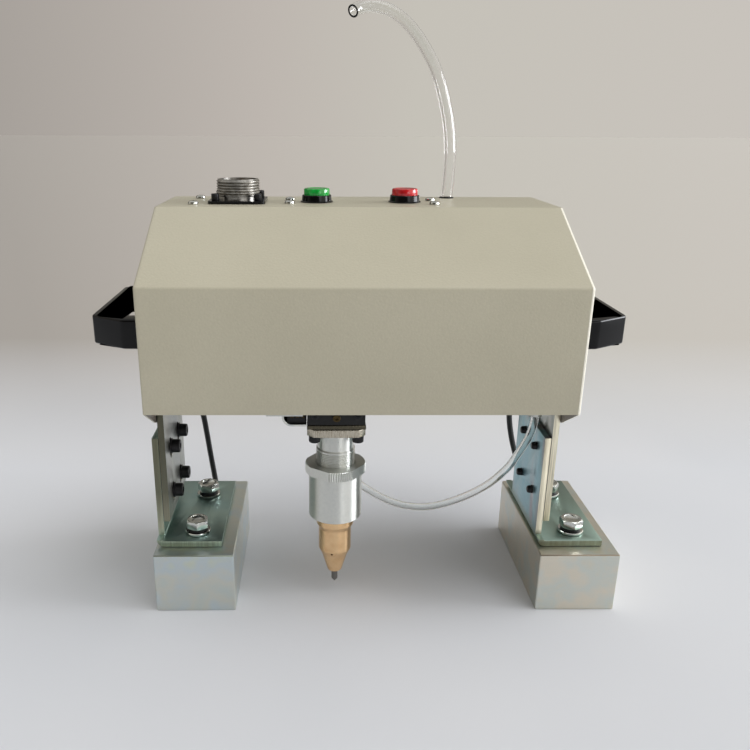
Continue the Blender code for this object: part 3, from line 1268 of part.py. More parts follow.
def make_switches():
    """Two round push switches: a bezel with a barrel below the panel, and a coloured cap in its well."""
    for colour, x in (("green", GREEN_X), ("red", RED_X)):
        base = CASE_TOP_Z + GAP
        top = CASE_TOP_Z + SWITCH_BEZEL_HEIGHT
        well = top - SWITCH_WELL
        bore = CAP_DIAMETER / 2 + GAP
        barrel = SWITCH_BARREL / 2
        inner = barrel - SHEET
        profile = [
            (0, CASE_TOP_Z - SWITCH_DEPTH), (barrel, CASE_TOP_Z - SWITCH_DEPTH), (barrel, base),
            (SWITCH_FLARE / 2, base), (SWITCH_FLARE / 2, base + SWITCH_FLARE_HEIGHT / 2),
            (SWITCH_BEZEL / 2, base + SWITCH_FLARE_HEIGHT), (SWITCH_BEZEL / 2, top), (bore, top),
            (bore, base + SWITCH_FLARE_HEIGHT), (inner, base + SWITCH_FLARE_HEIGHT), (inner, well), (0, well),
        ]
        switch = turned(f"{colour}_switch_body", profile, (x, FITTINGS_Y, 0))
        finish(switch, "black plastic")
        cap_top = top + CAP_SHOWN
        crown = cap_top - SWITCH_FLARE_HEIGHT
        stem = inner - GAP
        profile = [
            (0, cap_top - CAP_HEIGHT - CAP_TRAVEL / 2), (stem, cap_top - CAP_HEIGHT - CAP_TRAVEL / 2),
            (stem, base + SWITCH_FLARE_HEIGHT + CAP_TRAVEL + GAP),
            (CAP_DIAMETER / 2, base + SWITCH_FLARE_HEIGHT + CAP_TRAVEL + GAP),
            (CAP_DIAMETER / 2, crown), (CAP_DIAMETER / 2 - SWITCH_FLARE_HEIGHT, cap_top), (0, cap_top),
        ]
        cap = turned(f"{colour}_cap", profile, (x, FITTINGS_Y, 0))
        finish(cap, colour)


def make_air_line():
    """The hose fitting in the top, the valve on the right frame plate and the hoses between them."""
    nose_top = CASE_TOP_Z + INLET_NOSE_HEIGHT
    shoulder = CASE_TOP_Z - SHEET - GAP
    bore = SUPPLY_HOSE / 2 + GAP
    profile = [
        (0, shoulder - INLET_LENGTH), (INLET_BODY / 2, shoulder - INLET_LENGTH), (INLET_BODY / 2, shoulder),
        (INLET_NOSE / 2, shoulder), (INLET_NOSE / 2, nose_top), (bore, nose_top),
        (bore, nose_top - INLET_SOCKET), (0, nose_top - INLET_SOCKET),
    ]
    inlet = turned("inlet_fitting", profile, (INLET_X, INLET_Y, 0))
    finish(inlet, "black plastic")
    right = FRAME_INNER_X - GAP
    left = right - VALVE_WIDTH
    bottom = CASE_Z - VALVE_BELOW_EDGE
    valve_back = VALVE_FRONT_Y + VALVE_DEPTH
    valve = box("air_valve", (left, VALVE_FRONT_Y, bottom), (right, valve_back, bottom + VALVE_HEIGHT))
    port_y = VALVE_FRONT_Y + VALVE_PORT_SETBACK
    inlet_shift = (INLET_SHIFT_X, INLET_SHIFT_Y)
    plate_shift = (PLATE_SHIFT, 0)
    stylus_run = shifted(STYLUS_ROUTE, plate_shift, (0, 0))
    inner_run = shifted(INNER_ROUTE, inlet_shift, plate_shift)
    outlet = rod(
        "valve_outlet", VALVE_PORT / 2, (stylus_run[0].x, port_y, 0), bottom - VALVE_PORT_LENGTH,
        bottom + GAP, steps=SMALL_STEPS,
    )
    supply = rod(
        "valve_supply", VALVE_PORT / 2, (inner_run[-1].x, 0, inner_run[-1].z), valve_back - GAP,
        valve_back + VALVE_PORT_LENGTH, axis=1, steps=SMALL_STEPS,
    )
    fuse(valve, outlet, supply)
    finish(valve, "aluminium")
    supply_run = shifted(SUPPLY_ROUTE, inlet_shift, inlet_shift)
    tube("supply_hose", smooth_route(supply_run), SUPPLY_HOSE, "clear")
    tube("inner_supply_hose", smooth_route(inner_run), SUPPLY_HOSE, "clear")
    tube("stylus_hose_upper", smooth_route(stylus_run, 0.0, HOSE_SPLIT_SHARE), STYLUS_HOSE, "clear")
    seam = HOSE_SPLIT_SHARE + HOSE_SEAM_SHARE
    tube("stylus_hose_lower", smooth_route(stylus_run, seam, 1.0), STYLUS_HOSE, "clear")
    left_run = shifted(LEFT_CABLE_ROUTE, (-PLATE_SHIFT, 0), (-PLATE_SHIFT, 0))
    right_run = shifted(RIGHT_CABLE_ROUTE, plate_shift, plate_shift)
    tube("left_magnet_cable", smooth_route(left_run), MAGNET_CABLE, "cable")
    tube("right_magnet_cable", smooth_route(right_run), MAGNET_CABLE, "cable")


make_feet()
make_frame()
make_drives()
make_x_carriage()
make_y_carriage()
make_stylus()
make_case()
make_connector()
make_switches()
make_air_line()
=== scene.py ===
"""Looks of the bench marking machine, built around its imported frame."""

import json
from math import atan2, cos, pi, radians, sin, tan

import bpy
from mathutils import Matrix, Vector

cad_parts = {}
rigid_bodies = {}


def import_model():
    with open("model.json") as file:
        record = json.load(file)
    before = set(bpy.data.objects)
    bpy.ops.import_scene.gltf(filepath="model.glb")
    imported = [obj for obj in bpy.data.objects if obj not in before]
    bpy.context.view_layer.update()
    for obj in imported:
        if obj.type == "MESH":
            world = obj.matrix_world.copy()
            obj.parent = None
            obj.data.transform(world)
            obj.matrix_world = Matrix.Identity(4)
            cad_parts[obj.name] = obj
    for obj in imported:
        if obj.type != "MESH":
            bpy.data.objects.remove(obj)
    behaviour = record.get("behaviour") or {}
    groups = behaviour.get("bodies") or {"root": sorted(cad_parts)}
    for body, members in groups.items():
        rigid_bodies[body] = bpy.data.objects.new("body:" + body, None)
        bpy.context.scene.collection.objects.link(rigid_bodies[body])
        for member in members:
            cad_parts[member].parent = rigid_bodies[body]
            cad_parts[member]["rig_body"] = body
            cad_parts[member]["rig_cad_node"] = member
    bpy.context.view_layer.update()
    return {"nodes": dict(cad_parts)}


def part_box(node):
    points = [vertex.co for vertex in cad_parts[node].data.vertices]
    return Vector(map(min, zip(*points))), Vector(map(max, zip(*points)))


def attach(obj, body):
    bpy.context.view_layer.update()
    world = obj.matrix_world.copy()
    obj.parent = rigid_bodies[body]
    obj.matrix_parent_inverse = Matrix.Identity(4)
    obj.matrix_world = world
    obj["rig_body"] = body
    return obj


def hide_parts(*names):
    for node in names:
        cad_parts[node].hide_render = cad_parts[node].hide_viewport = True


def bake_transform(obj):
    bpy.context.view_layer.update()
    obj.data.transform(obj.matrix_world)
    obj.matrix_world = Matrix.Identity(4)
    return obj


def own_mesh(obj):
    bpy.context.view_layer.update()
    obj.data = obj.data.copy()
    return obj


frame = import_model()

MM = 0.001
CLEAR = 0.05 * MM

# Camera, fitted to the photograph: a view just left of the middle, looking down on the case
CAMERA_LEFT = 26.03 * MM
CAMERA_BEFORE = 409.53 * MM
CAMERA_HEIGHT = 294.31 * MM
CAMERA_YAW = 0.01082
CAMERA_PITCH = 0.33876
CAMERA_ROLL = 0.00371
LENS = 36.906
SENSOR = 36.0
SHIFT_X = 0.06748
SHIFT_Y = 0.0264

# Case sheet
SHEET = 1.5 * MM
SLOPE_RUN = 71.9 * MM
FRONT_HEIGHT = 73.3 * MM
BEND_RADIUS = 3.0 * MM
FRONT_BEND = 1.7 * MM
SKIRT_DROP = 16.0 * MM
SKIRT_RUN = 28.0 * MM
SHEET_EDGE = 0.25 * MM
SHEET_ROUND = 0.9 * MM
COVER_REACH = 0.27 * MM
COVER_HOLES = (
    ("connector_shell", 12.8 * MM), ("green_switch_body", 7.8 * MM), ("red_switch_body", 7.8 * MM),
    ("inlet_fitting", 5.2 * MM),
)

# Where the machine stands in the frame
COVER_LOW, COVER_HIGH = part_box("cover_shell")
MIDDLE_X = (COVER_LOW.x + COVER_HIGH.x) / 2
FRONT_Y = COVER_LOW.y
TOP_Z = COVER_HIGH.z

# Routes of the hoses and cables, millimetres from the middle of the front panel's foot on the bench
SUPPLY_ROUTE = (
    (63.5, 136.0, 237.4), (63.6, 136.0, 246.0), (64.2, 136.0, 256.5), (64.6, 136.0, 269.0),
    (64.2, 136.0, 282.3), (62.2, 136.0, 296.6), (57.3, 136.0, 315.1), (51.3, 136.0, 329.7),
    (43.5, 136.0, 342.5), (34.4, 136.0, 353.5), (25.5, 136.0, 360.5), (16.8, 135.8, 364.3),
    (8.1, 135.0, 365.5), (1.0, 132.6, 363.9), (-3.0, 128.4, 361.6),
)
STYLUS_ROUTE = (
    (110.6, 39.0, 122.6), (110.6, 39.0, 119.0), (109.3, 39.0, 111.7), (107.0, 40.0, 104.3),
    (101.9, 42.0, 92.8), (98.0, 43.0, 85.4), (88.9, 45.0, 74.2), (79.0, 47.0, 66.0),
    (68.5, 48.0, 60.1), (58.1, 50.0, 55.2), (47.2, 51.0, 52.6), (36.3, 52.0, 52.5),
    (25.1, 53.0, 55.0), (13.9, 55.0, 59.7), (4.6, 56.4, 65.6), (-3.4, 57.0, 73.2),
    (-9.6, 57.3, 82.0), (-13.2, 57.3, 91.0), (-14.2, 57.3, 98.6),
)
HOSE_SPLIT_SHARE = 0.62
HOSE_SEAM_SHARE = 0.002
INNER_ROUTE = (
    (63.5, 136.0, 226.2), (63.7, 135.8, 219.0), (67.0, 132.6, 211.4), (75.5, 124.6, 206.2),
    (86.5, 114.4, 202.8), (97.5, 104.8, 197.4), (105.6, 99.6, 187.4), (109.3, 96.6, 174.0),
    (110.2, 91.0, 161.5), (109.6, 81.5, 152.8), (109.0, 70.0, 149.2), (108.6, 62.0, 148.6),
    (108.6, 56.2, 148.6),
)
LEFT_CABLE_ROUTE = (
    (-102.95, 121.2, 24.0), (-102.95, 124.0, 24.0), (-103.05, 126.6, 25.6), (-103.3, 127.6, 30.0),
    (-103.7, 126.4, 37.0), (-104.3, 123.2, 47.0), (-105.2, 118.4, 62.0), (-106.2, 113.0, 80.0),
    (-107.4, 107.4, 97.0), (-110.0, 101.8, 111.0), (-113.0, 98.2, 121.0), (-113.5, 97.5, 129.2),
)
RIGHT_CABLE_ROUTE = (
    (139.55, 121.2, 24.0), (139.5, 124.0, 24.0), (138.9, 126.6, 25.6), (137.4, 127.6, 30.0),
    (134.6, 126.4, 37.0), (129.8, 122.0, 48.0), (123.0, 116.8, 61.0), (116.9, 112.0, 79.0),
    (112.9, 107.4, 97.0), (112.0, 102.2, 111.0), (113.2, 98.2, 121.0), (113.5, 97.5, 129.2),
)
SUPPLY_DIAMETER = 8.0 * MM
STYLUS_DIAMETER = 5.1 * MM
CABLE_DIAMETER = 4.0 * MM
HOSE_WALL = 1.25 * MM
STYLUS_WALL = 0.85 * MM
ROUTE_STEPS = 150
KNOT_STEPS = 12


def at(x, y, z):
    """A point given in millimetres from the middle of the front panel's foot, in the frame."""
    return Vector((MIDDLE_X + x * MM, FRONT_Y + y * MM, z * MM))


# Modelling helpers

AXIS_TURNS = {
    "X": (0, pi / 2, 0), "Y": (-pi / 2, 0, 0), "-Y": (pi / 2, 0, 0), "Z": (0, 0, 0),
    "-Z": (pi, 0, 0),
}
SAME_SPOT = 0.002 * MM
FLAT_ANGLE = radians(1)
RIM_SHARE = 0.96


def pick(obj):
    """Selects one object alone and makes it active."""
    bpy.ops.object.select_all(action="DESELECT")
    obj.select_set(True)
    bpy.context.view_layer.objects.active = obj


def bake(obj):
    """Puts a piece's place, turn and scale in its mesh."""
    pick(obj)
    bpy.ops.object.transform_apply(location=True, rotation=True, scale=True)
    return obj


def put(obj, spot, turn=(0, 0, 0)):
    """Turns a piece about the origin and moves it to its spot."""
    obj.rotation_euler = turn
    obj.location = spot
    return bake(obj)


def modify(obj, kind, **settings):
    """Adds a modifier with its settings and applies it."""
    pick(obj)
    step = obj.modifiers.new(kind.lower(), kind)
    for name, value in settings.items():
        setattr(step, name, value)
    bpy.ops.object.modifier_apply(modifier=step.name)
    return obj


def begin(obj, kind="FACE"):
    """Opens an object in edit mode with nothing selected."""
    pick(obj)
    bpy.ops.object.mode_set(mode="EDIT")
    bpy.ops.mesh.select_mode(type=kind)
    bpy.ops.mesh.select_all(action="DESELECT")


def choose(obj, test):
    """Selects the vertices of the edited mesh that pass a test of their place."""
    bpy.ops.mesh.select_mode(type="VERT")
    bpy.ops.mesh.select_all(action="DESELECT")
    bpy.ops.object.mode_set(mode="OBJECT")
    for vertex in obj.data.vertices:
        vertex.select = test(vertex.co)
    bpy.ops.object.mode_set(mode="EDIT")


def close(obj):
    """Turns all faces outward and leaves edit mode."""
    bpy.ops.mesh.select_all(action="SELECT")
    bpy.ops.mesh.normals_make_consistent(inside=False)
    bpy.ops.object.mode_set(mode="OBJECT")
    return obj


def settle(obj, name, finish, angle):
    """Names and paints a piece, puts its place in its mesh and shades it smooth below an angle."""
    obj.name = name
    obj.data.name = name
    bake(obj)
    bpy.ops.object.shade_smooth_by_angle(angle=radians(angle))
    obj.data.materials.clear()
    obj.data.materials.append(finish)
    return obj


def dress(obj, name, body, slot, finish, main=False, angle=30):
    """Finishes a piece and attaches it to its body. The main one stands for the slot's node, which it
    hides.
    """
    settle(obj, name, finish, angle)
    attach(obj, body)
    if main:
        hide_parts(slot)
    return obj


def combine(obj, tool, operation="DIFFERENCE"):
    """Cuts a piece with another, or joins them, and removes the other."""
    modify(obj, "BOOLEAN", operation=operation, solver="EXACT", object=tool)
    bpy.data.objects.remove(tool, do_unlink=True)
    return obj


def slab(low, high):
    """A cube stretched between two corners."""
    low, high = Vector(low), Vector(high)
    bpy.ops.mesh.primitive_cube_add(size=1, location=(low + high) / 2, scale=high - low)
    return bake(bpy.context.object)


def strip(middle, size, turn=(0, 0, 0)):
    """A flat strip, the first face of a folded sheet."""
    bpy.ops.mesh.primitive_plane_add(size=1, location=middle, rotation=turn)
    obj = bpy.context.object
    obj.scale = (*size, 1)
    return bake(obj)


def thicken(obj, wall, axis, even):
    """Gives a folded strip its wall, inward from the face that lies lowest along an axis."""
    bpy.ops.mesh.select_all(action="SELECT")
    bpy.ops.mesh.normals_make_consistent(inside=False)
    bpy.ops.object.mode_set(mode="OBJECT")
    outer = min(obj.data.polygons, key=lambda face: face.center[axis])
    offset = 1 if outer.normal[axis] > 0 else -1
    return modify(obj, "SOLIDIFY", thickness=wall, offset=offset, use_even_offset=even)


def round_edges(obj, width, steps=3, angle=40):
    """Rounds the edges of a piece that are sharper than an angle."""
    return modify(
        obj, "BEVEL", width=width, segments=steps, limit_method="ANGLE", angle_limit=radians(angle)
    )


def slice_off(obj, point, normal):
    """Cuts away what lies beyond a plane and fills the cut."""
    begin(obj)
    bpy.ops.mesh.select_all(action="SELECT")
    bpy.ops.mesh.bisect(plane_co=point, plane_no=normal, use_fill=True, clear_outer=True)
    return close(obj)


def turned(profile, spot, axis="Z", sides=64):
    """A round piece: a disc drawn out and scaled ring by ring along its axis."""
    radius, height = profile[0]
    bpy.ops.mesh.primitive_circle_add(
        vertices=sides, radius=radius, fill_type="NGON", location=(0, 0, height)
    )
    obj = bake(bpy.context.object)
    bpy.ops.object.mode_set(mode="EDIT")
    bpy.ops.mesh.select_all(action="SELECT")
    for (old, low), (new, high) in zip(profile, profile[1:]):
        bpy.ops.mesh.extrude_region_move(TRANSFORM_OT_translate={"value": (0, 0, high - low)})
        if new != old:
            bpy.ops.transform.resize(value=(new / old, new / old, 1), center_override=(0, 0, high))
    return put(close(obj), spot, AXIS_TURNS[axis])


def rings(table, base=0.0):
    """A profile from radii and heights in millimetres above a level."""
    return [(radius * MM, base + height * MM) for radius, height in table]


def thread(start, pitch, count, form):
    """Rings of a thread: its form, as radii and shares of the pitch, repeated upward."""
    return [(radius, start + pitch * (i + share)) for i in range(count) for radius, share in form]


def middle_of(name):
    """The upright axis of a node's box, at the bench, with its two corners."""
    low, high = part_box(name)
    return Vector(((low.x + high.x) / 2, (low.y + high.y) / 2, 0)), low, high


def turned_node(name, runs, sides=64):
    """A round piece on a node's axis, from runs of rings that start at its foot or at its top."""
    centre, low, high = middle_of(name)
    levels = {"foot": low.z, "top": high.z}
    profile = []
    for end, table in runs:
        profile += rings(table, levels[end])
    return turned(profile, centre, sides=sides)


def drill(obj, radius, low, high, spot, axis="Z", sides=64):
    """Cuts a round hole between two levels above a spot."""
    return combine(obj, turned([(radius, low), (radius, high)], spot, axis, sides))


def prism(sides, across, low, high, spot, turn=0.0):
    """An upright bar of three or more flats, such as a hexagon."""
    radius = across / 2 / cos(pi / sides)
    bpy.ops.mesh.primitive_cylinder_add(
        vertices=sides, radius=radius, depth=high - low, location=(0, 0, (low + high) / 2)
    )
    return put(bake(bpy.context.object), spot, (0, 0, turn))


def ridge(obj, centre, sides, low, high, radius, depth):
    """Presses every other upright edge of a round piece inward, as straight knurling."""
    step = 2 * pi / sides

    def picked(point):
        out = Vector((point.x - centre.x, point.y - centre.y))
        column = round(atan2(out.y, out.x) / step) % 2
        return column == 1 and low < point.z < high and out.length > radius * RIM_SHARE

    begin(obj)
    choose(obj, picked)
    share = 1 - depth / radius
    bpy.ops.transform.resize(value=(share, share, 1), center_override=(centre.x, centre.y, 0))
    return close(obj)


def machined(name, body, finish, width):
    """A copy of a machined node, with its edges broken where a width is given, which then stands for it."""
    obj = frame["nodes"][name].copy()
    obj.data = obj.data.copy()
    obj.parent = None
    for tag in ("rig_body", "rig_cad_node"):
        del obj[tag]
    bpy.context.scene.collection.objects.link(obj)
    begin(obj)
    bpy.ops.mesh.select_all(action="SELECT")
    bpy.ops.mesh.remove_doubles(threshold=SAME_SPOT)
    bpy.ops.mesh.dissolve_limited(angle_limit=FLAT_ANGLE)
    close(obj)
    if obj.data.has_custom_normals:
        bpy.ops.mesh.customdata_custom_splitnormals_clear()
    if width:
        round_edges(obj, width, steps=2, angle=50)
    return dress(obj, f"{name}_body", body, name, finish, main=True, angle=35)


# Materials

ISOTROPIC = (1, 1, 1)
NOISE_RANGE = (0.3, 0.7)
EDGE_FACING = (-0.5, -0.9)
# Facing range of the painted highlight on the right side sheet's front edge
HIGHLIGHT_FACING = (-0.15, -0.4)
# Facing range of the painted shade on chamfers that face up and forward
SHADED_CHAMFER_FACING = (-0.2, -0.4)
# Painted shade on the side sheets' inner faces: its tone and facing range
INNER_SHADE = "#776E68"
INNER_SHADE_FACING = (0.5, 0.9)
PEEL_SIZE = 1.4 * MM
PEEL_DEPTH = 0.11 * MM
SPECK_SIZE = 1.1 * MM
CLOUD_SIZE = 60 * MM
UPRIGHT_STREAKS = (1, 1, 0.25)
CUT_MARKS = (1, 1, 0.04)
CUT_MARK_SIZE = 1.3 * MM
CUT_SHADE = "#6A6452"
DRAWN_LINES = (1, 1, 6)
DRAWN_SIZE = 5 * MM
FILM_GRAIN = 0.9 * MM
FILM_DEPTH = 0.008 * MM
# Height over which the painted light on cut edges changes
EDGE_LIGHT_RISE = 70 * MM
BASE_TOP = 5 * MM


def linear(code):
    """An sRGB hex colour as linear values."""
    parts = [int(code[i:i + 2], 16) / 255 for i in (1, 3, 5)]
    return [v / 12.92 if v <= 0.04045 else ((v + 0.055) / 1.055) ** 2.4 for v in parts] + [1.0]


def node(tree, kind, links=(), **settings):
    """Adds a shader node with settings, and links or values by socket."""
    made = tree.nodes.new("ShaderNode" + kind)
    for name, value in settings.items():
        setattr(made, name, value)
    for socket, source in dict(links).items():
        if isinstance(source, bpy.types.NodeSocket):
            tree.links.new(source, made.inputs[socket])
        else:
            made.inputs[socket].default_value = source
    return made


def material(name, **values):
    """A new material with plain values set in its shader. Gives the material, tree and shader."""
    made = bpy.data.materials.new(name)
    made.use_nodes = True
    tree = made.node_tree
    shader = tree.nodes["Principled BSDF"]
    for socket, value in values.items():
        shader.inputs[socket.replace("_", " ")].default_value = value
    return made, tree, shader


def object_place(tree, stretch=ISOTROPIC):
    """Object coordinates, in metres, stretched per axis."""
    source = node(tree, "TexCoord")
    return node(tree, "Mapping", {"Vector": source.outputs["Object"], "Scale": stretch}).outputs[0]


def facing(tree, axis):
    """How far the surface faces along an axis, from -1 to 1."""
    return node(tree, "SeparateXYZ", {0: node(tree, "TexCoord").outputs["Normal"]}).outputs[axis]


def grain(tree, place, size, detail=3.0, roughness=0.55):
    """Noise whose blobs are about a given size."""
    links = {"Vector": place, "Scale": 1 / size, "Detail": detail, "Roughness": roughness}
    return node(tree, "TexNoise", links).outputs["Fac"]


def blend_colours(tree, factor, *stops):
    """A colour ramp from (place, hex) pairs."""
    ramp = node(tree, "ValToRGB", {"Fac": factor})
    while len(ramp.color_ramp.elements) < len(stops):
        ramp.color_ramp.elements.new(0.5)
    for element, (place, code) in zip(ramp.color_ramp.elements, stops):
        element.position = place
        element.color = linear(code)
    return ramp.outputs["Color"]


def remap(tree, value, low, high, start=0.0, end=1.0):
    """A value carried from one range to another and held at its ends."""
    links = {"Value": value, "From Min": low, "From Max": high, "To Min": start, "To Max": end}
    return node(tree, "MapRange", links).outputs["Result"]


def span(tree, factor, low, high):
    """A 0 to 1 noise value spread between two others."""
    return remap(tree, factor, *NOISE_RANGE, low, high)


def mixed(tree, factor, first, second, kind="MIX"):
    """Two colours mixed by a factor."""
    return node(tree, "Mix", {0: factor, 6: first, 7: second}, data_type="RGBA", blend_type=kind).outputs[2]


def finish_surface(tree, shader, colour, rough, low, high, relief, depth):
    """Joins a colour, a spread of roughness and a relief to a shader."""
    tree.links.new(colour, shader.inputs["Base Color"])
    tree.links.new(span(tree, rough, low, high), shader.inputs["Roughness"])
    if depth:
        made = node(tree, "Bump", {"Height": relief, "Strength": 1.0, "Distance": depth})
        tree.links.new(made.outputs["Normal"], shader.inputs["Normal"])


def make_paint(name="beige-grey enamel", edge=None, inward=0):
    """Enamel sprayed on sheet: pebbled like orange peel, half glossy, so windows smear on it. An edge tone
    paints a highlight on front-facing faces, and an inward side paints shade on faces that turn to the
    middle.
    """
    made, tree, shader = material(name, IOR=1.5)
    place = object_place(tree)
    # The peel and its specks are drawn a little coarser than real so that they show
    peel = grain(tree, place, PEEL_SIZE, 2.0)
    cloud = grain(tree, place, CLOUD_SIZE, 2.0)
    speck = grain(tree, place, SPECK_SIZE, 1.0)
    tone = blend_colours(tree, cloud, (0.3, "#BBB5A0"), (0.7, "#C0BAA5"))
    # Painted highlight: faces turned to the front take a near-white edge tone that stands for window light
    if edge:
        tone = mixed(tree, remap(tree, facing(tree, "Y"), *HIGHLIGHT_FACING), tone, linear(edge))
    # Painted shade: faces that turn to the middle of the case are darkened
    if inward:
        start, end = (inward * share for share in INNER_SHADE_FACING)
        tone = mixed(tree, remap(tree, facing(tree, "X"), start, end), tone, linear(INNER_SHADE))
    pebble = blend_colours(tree, speck, (0.3, "#FAFAFA"), (0.7, "#FFFFFF"))
    colour = mixed(tree, 1.0, tone, pebble, "MULTIPLY")
    finish_surface(tree, shader, colour, peel, 0.30, 0.42, peel, PEEL_DEPTH)
    return made


def make_zinc(name, films, edges=None, foot=0.0, base=None, stretch=ISOTROPIC, size=30 * MM, chamfer_shade=None):
    """Zinc plate: drifting tints of its film, drawn lines and its own tone on a base, with cut edge tones
    that change with height to paint light and shade, and painted shade on chamfers that face up and
    forward.
    """
    made, tree, shader = material(name, Metallic=1.0)
    drift = grain(tree, object_place(tree, stretch), size, 3.0, 0.5)
    colour = blend_colours(tree, drift, *films)
    height = node(tree, "SeparateXYZ", {0: object_place(tree)}).outputs["Z"]
    if base:
        above = remap(tree, height, foot + BASE_TOP, foot + 2 * BASE_TOP)
        colour = mixed(tree, above, linear(base), colour)
    if edges:
        # Cut edge tone by height: it carries the painted highlight and painted shade of the plates and
        # brackets
        edge = blend_colours(tree, remap(tree, height, foot, foot + EDGE_LIGHT_RISE), *edges)
        # Shear marks run long and straight along the cut, as a guillotine leaves them
        streak = grain(tree, object_place(tree, CUT_MARKS), CUT_MARK_SIZE, 3.0, 0.6)
        edge = mixed(tree, span(tree, streak, 0.0, 0.55), edge, linear(CUT_SHADE))
        colour = mixed(tree, remap(tree, facing(tree, "Y"), *EDGE_FACING), colour, edge)
    # Painted shade: chamfers that face up and forward take a dark tone in place of the bright line they
    # would mirror
    if chamfer_shade:
        sides = {0: facing(tree, "Y"), 1: facing(tree, "Z")}
        corner = node(tree, "Math", sides, operation="MULTIPLY").outputs[0]
        colour = mixed(tree, remap(tree, corner, *SHADED_CHAMFER_FACING), colour, linear(chamfer_shade))
    drawn = grain(tree, object_place(tree, DRAWN_LINES), DRAWN_SIZE, 6.0, 0.7)
    relief = grain(tree, object_place(tree), FILM_GRAIN, 4.0)
    finish_surface(tree, shader, colour, drawn, 0.30, 0.44, relief, FILM_DEPTH)
    return made


def make_bright_zinc():
    """Bright zinc on cold-headed bolts and screws: clean, nearly mirror, a little wavy."""
    made, tree, shader = material("bright zinc plate", Metallic=1.0)
    place = object_place(tree)
    colour = blend_colours(tree, grain(tree, place, 4 * MM), (0.35, "#C2C5C4"), (0.65, "#D6D6CE"))
    wave = grain(tree, place, 1.6 * MM)
    finish_surface(tree, shader, colour, grain(tree, place, 1.2 * MM), 0.08, 0.18, wave, 0.03 * MM)
    return made


def make_lathed(name, tarnish_size, films, pitch, depth, rough):
    """Turned metal: fine rings round an upright axis, which smear what it mirrors up and down."""
    made, tree, shader = material(name, Metallic=1.0, Anisotropic=0.92, Anisotropic_Rotation=0.25)
    around = node(tree, "Tangent", direction_type="RADIAL", axis="Z").outputs["Tangent"]
    tree.links.new(around, shader.inputs["Tangent"])
    colour = blend_colours(tree, grain(tree, object_place(tree), tarnish_size, 5.0, 0.65), *films)
    lines = grain(tree, object_place(tree, (0.04, 0.04, 1)), pitch, 5.0, 0.75)
    finish_surface(tree, shader, colour, lines, *rough, lines, depth)
    return made


def make_nickel():
    """Nickel plate over a die-cast shell: silver metal, dull in places from handling."""
    made, tree, shader = material("nickel plate", Metallic=1.0)
    place = object_place(tree)
    wear = grain(tree, place, 3.5 * MM, 5.0, 0.65)
    colour = blend_colours(tree, wear, (0.32, "#7A7771"), (0.52, "#9E9B95"), (0.72, "#B8B6B0"))
    finish_surface(tree, shader, colour, wear, 0.26, 0.38, grain(tree, place, 1.2 * MM), 0.005 * MM)
    return made


def make_grained(name, size, tones, rough, depth=0.0, detail=3.0, stretch=ISOTROPIC, crisp=0.55, **values):
    """A material whose tone, roughness and relief all follow one noise."""
    made, tree, shader = material(name, **values)
    noise = grain(tree, object_place(tree, stretch), size, detail, crisp)
    finish_surface(tree, shader, blend_colours(tree, noise, *tones), noise, *rough, noise, depth)
    return made


def make_steel(name, dark, bright):
    """Ground steel: plain metal with straight grinding lines."""
    return make_grained(
        name, 0.6 * MM, ((0.3, dark), (0.7, bright)), (0.2, 0.34), depth=0.008 * MM, detail=4.0,
        stretch=(1, 1, 0.1), crisp=0.7, Metallic=1.0,
    )


def make_plastic(name, size, dark, bright, rough, depth, gloss=0.5):
    """Moulded black plastic: gloss or grit from its tool, and a slight change of tone."""
    tones = ((0.3, dark), (0.7, bright))
    return make_grained(name, size, tones, rough, depth, IOR=1.53, Specular_IOR_Level=gloss)


def make_lens(name, deep, bright):
    """Tinted polycarbonate lens: coloured right through, glossy, with soft swirls from moulding."""
    return make_grained(
        name, 5 * MM, ((0.35, deep), (0.65, bright)), (0.06, 0.12), detail=2.0, IOR=1.58,
        Transmission_Weight=0.12,
    )


PAINT = make_paint()
# Side sheets with painted shade on their inner faces; the right one also has a painted highlight on its
# front edge
SHEET_PAINT = {
    "left": make_paint("beige-grey enamel, painted shade inside", None, 1),
    "right": make_paint("beige-grey enamel, thin on its cut edge", "#F7F3E4", -1),
}
BRACKET_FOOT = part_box("left_foot_bracket")[0].z
# Magnet blocks, each with painted shade on its front top chamfer
BLOCKS = {
    "left": make_zinc(
        "zinc plated block, blue film, painted shade on its chamfer",
        ((0.3, "#C8D0CC"), (0.45, "#D0D1C8"), (0.6, "#C6D0D3"), (0.72, "#CDD3C6")),
        size=22 * MM, chamfer_shade="#7E8478",
    ),
    "right": make_zinc(
        "zinc plated block, straw film, painted shade on its chamfer",
        ((0.3, "#D3D0C3"), (0.45, "#DAD3C4"), (0.6, "#CED2CB"), (0.72, "#D6D1C0")),
        size=22 * MM, chamfer_shade="#7F7465",
    ),
}
GREY_FILM = ((0.3, "#AFB3B0"), (0.7, "#BFBFB8"))
TEAL_FILM = ((0.3, "#97B1AF"), (0.7, "#A9BDB4"))
BLUE_FILM = ((0.32, "#8CB4BE"), (0.45, "#9DBAC0"), (0.55, "#B0ABAE"), (0.7, "#95B5B4"))
# Frame plates: the left edge darkens upward in painted shade, the right edge is a near-white painted
# highlight
PLATES = {
    "left": make_zinc(
        "zinc plated plate, painted shade up its edge", GREY_FILM,
        ((0.0, "#D8D2BC"), (0.25, "#A3A08E"), (0.5, "#6E6F62"), (1.0, "#56574C")), BRACKET_FOOT,
        stretch=UPRIGHT_STREAKS,
    ),
    "right": make_zinc(
        "zinc plated plate, painted highlight on its edge", GREY_FILM, ((0.0, "#F0E7CF"), (1.0, "#FFF8E0")), BRACKET_FOOT,
        stretch=UPRIGHT_STREAKS,
    ),
}
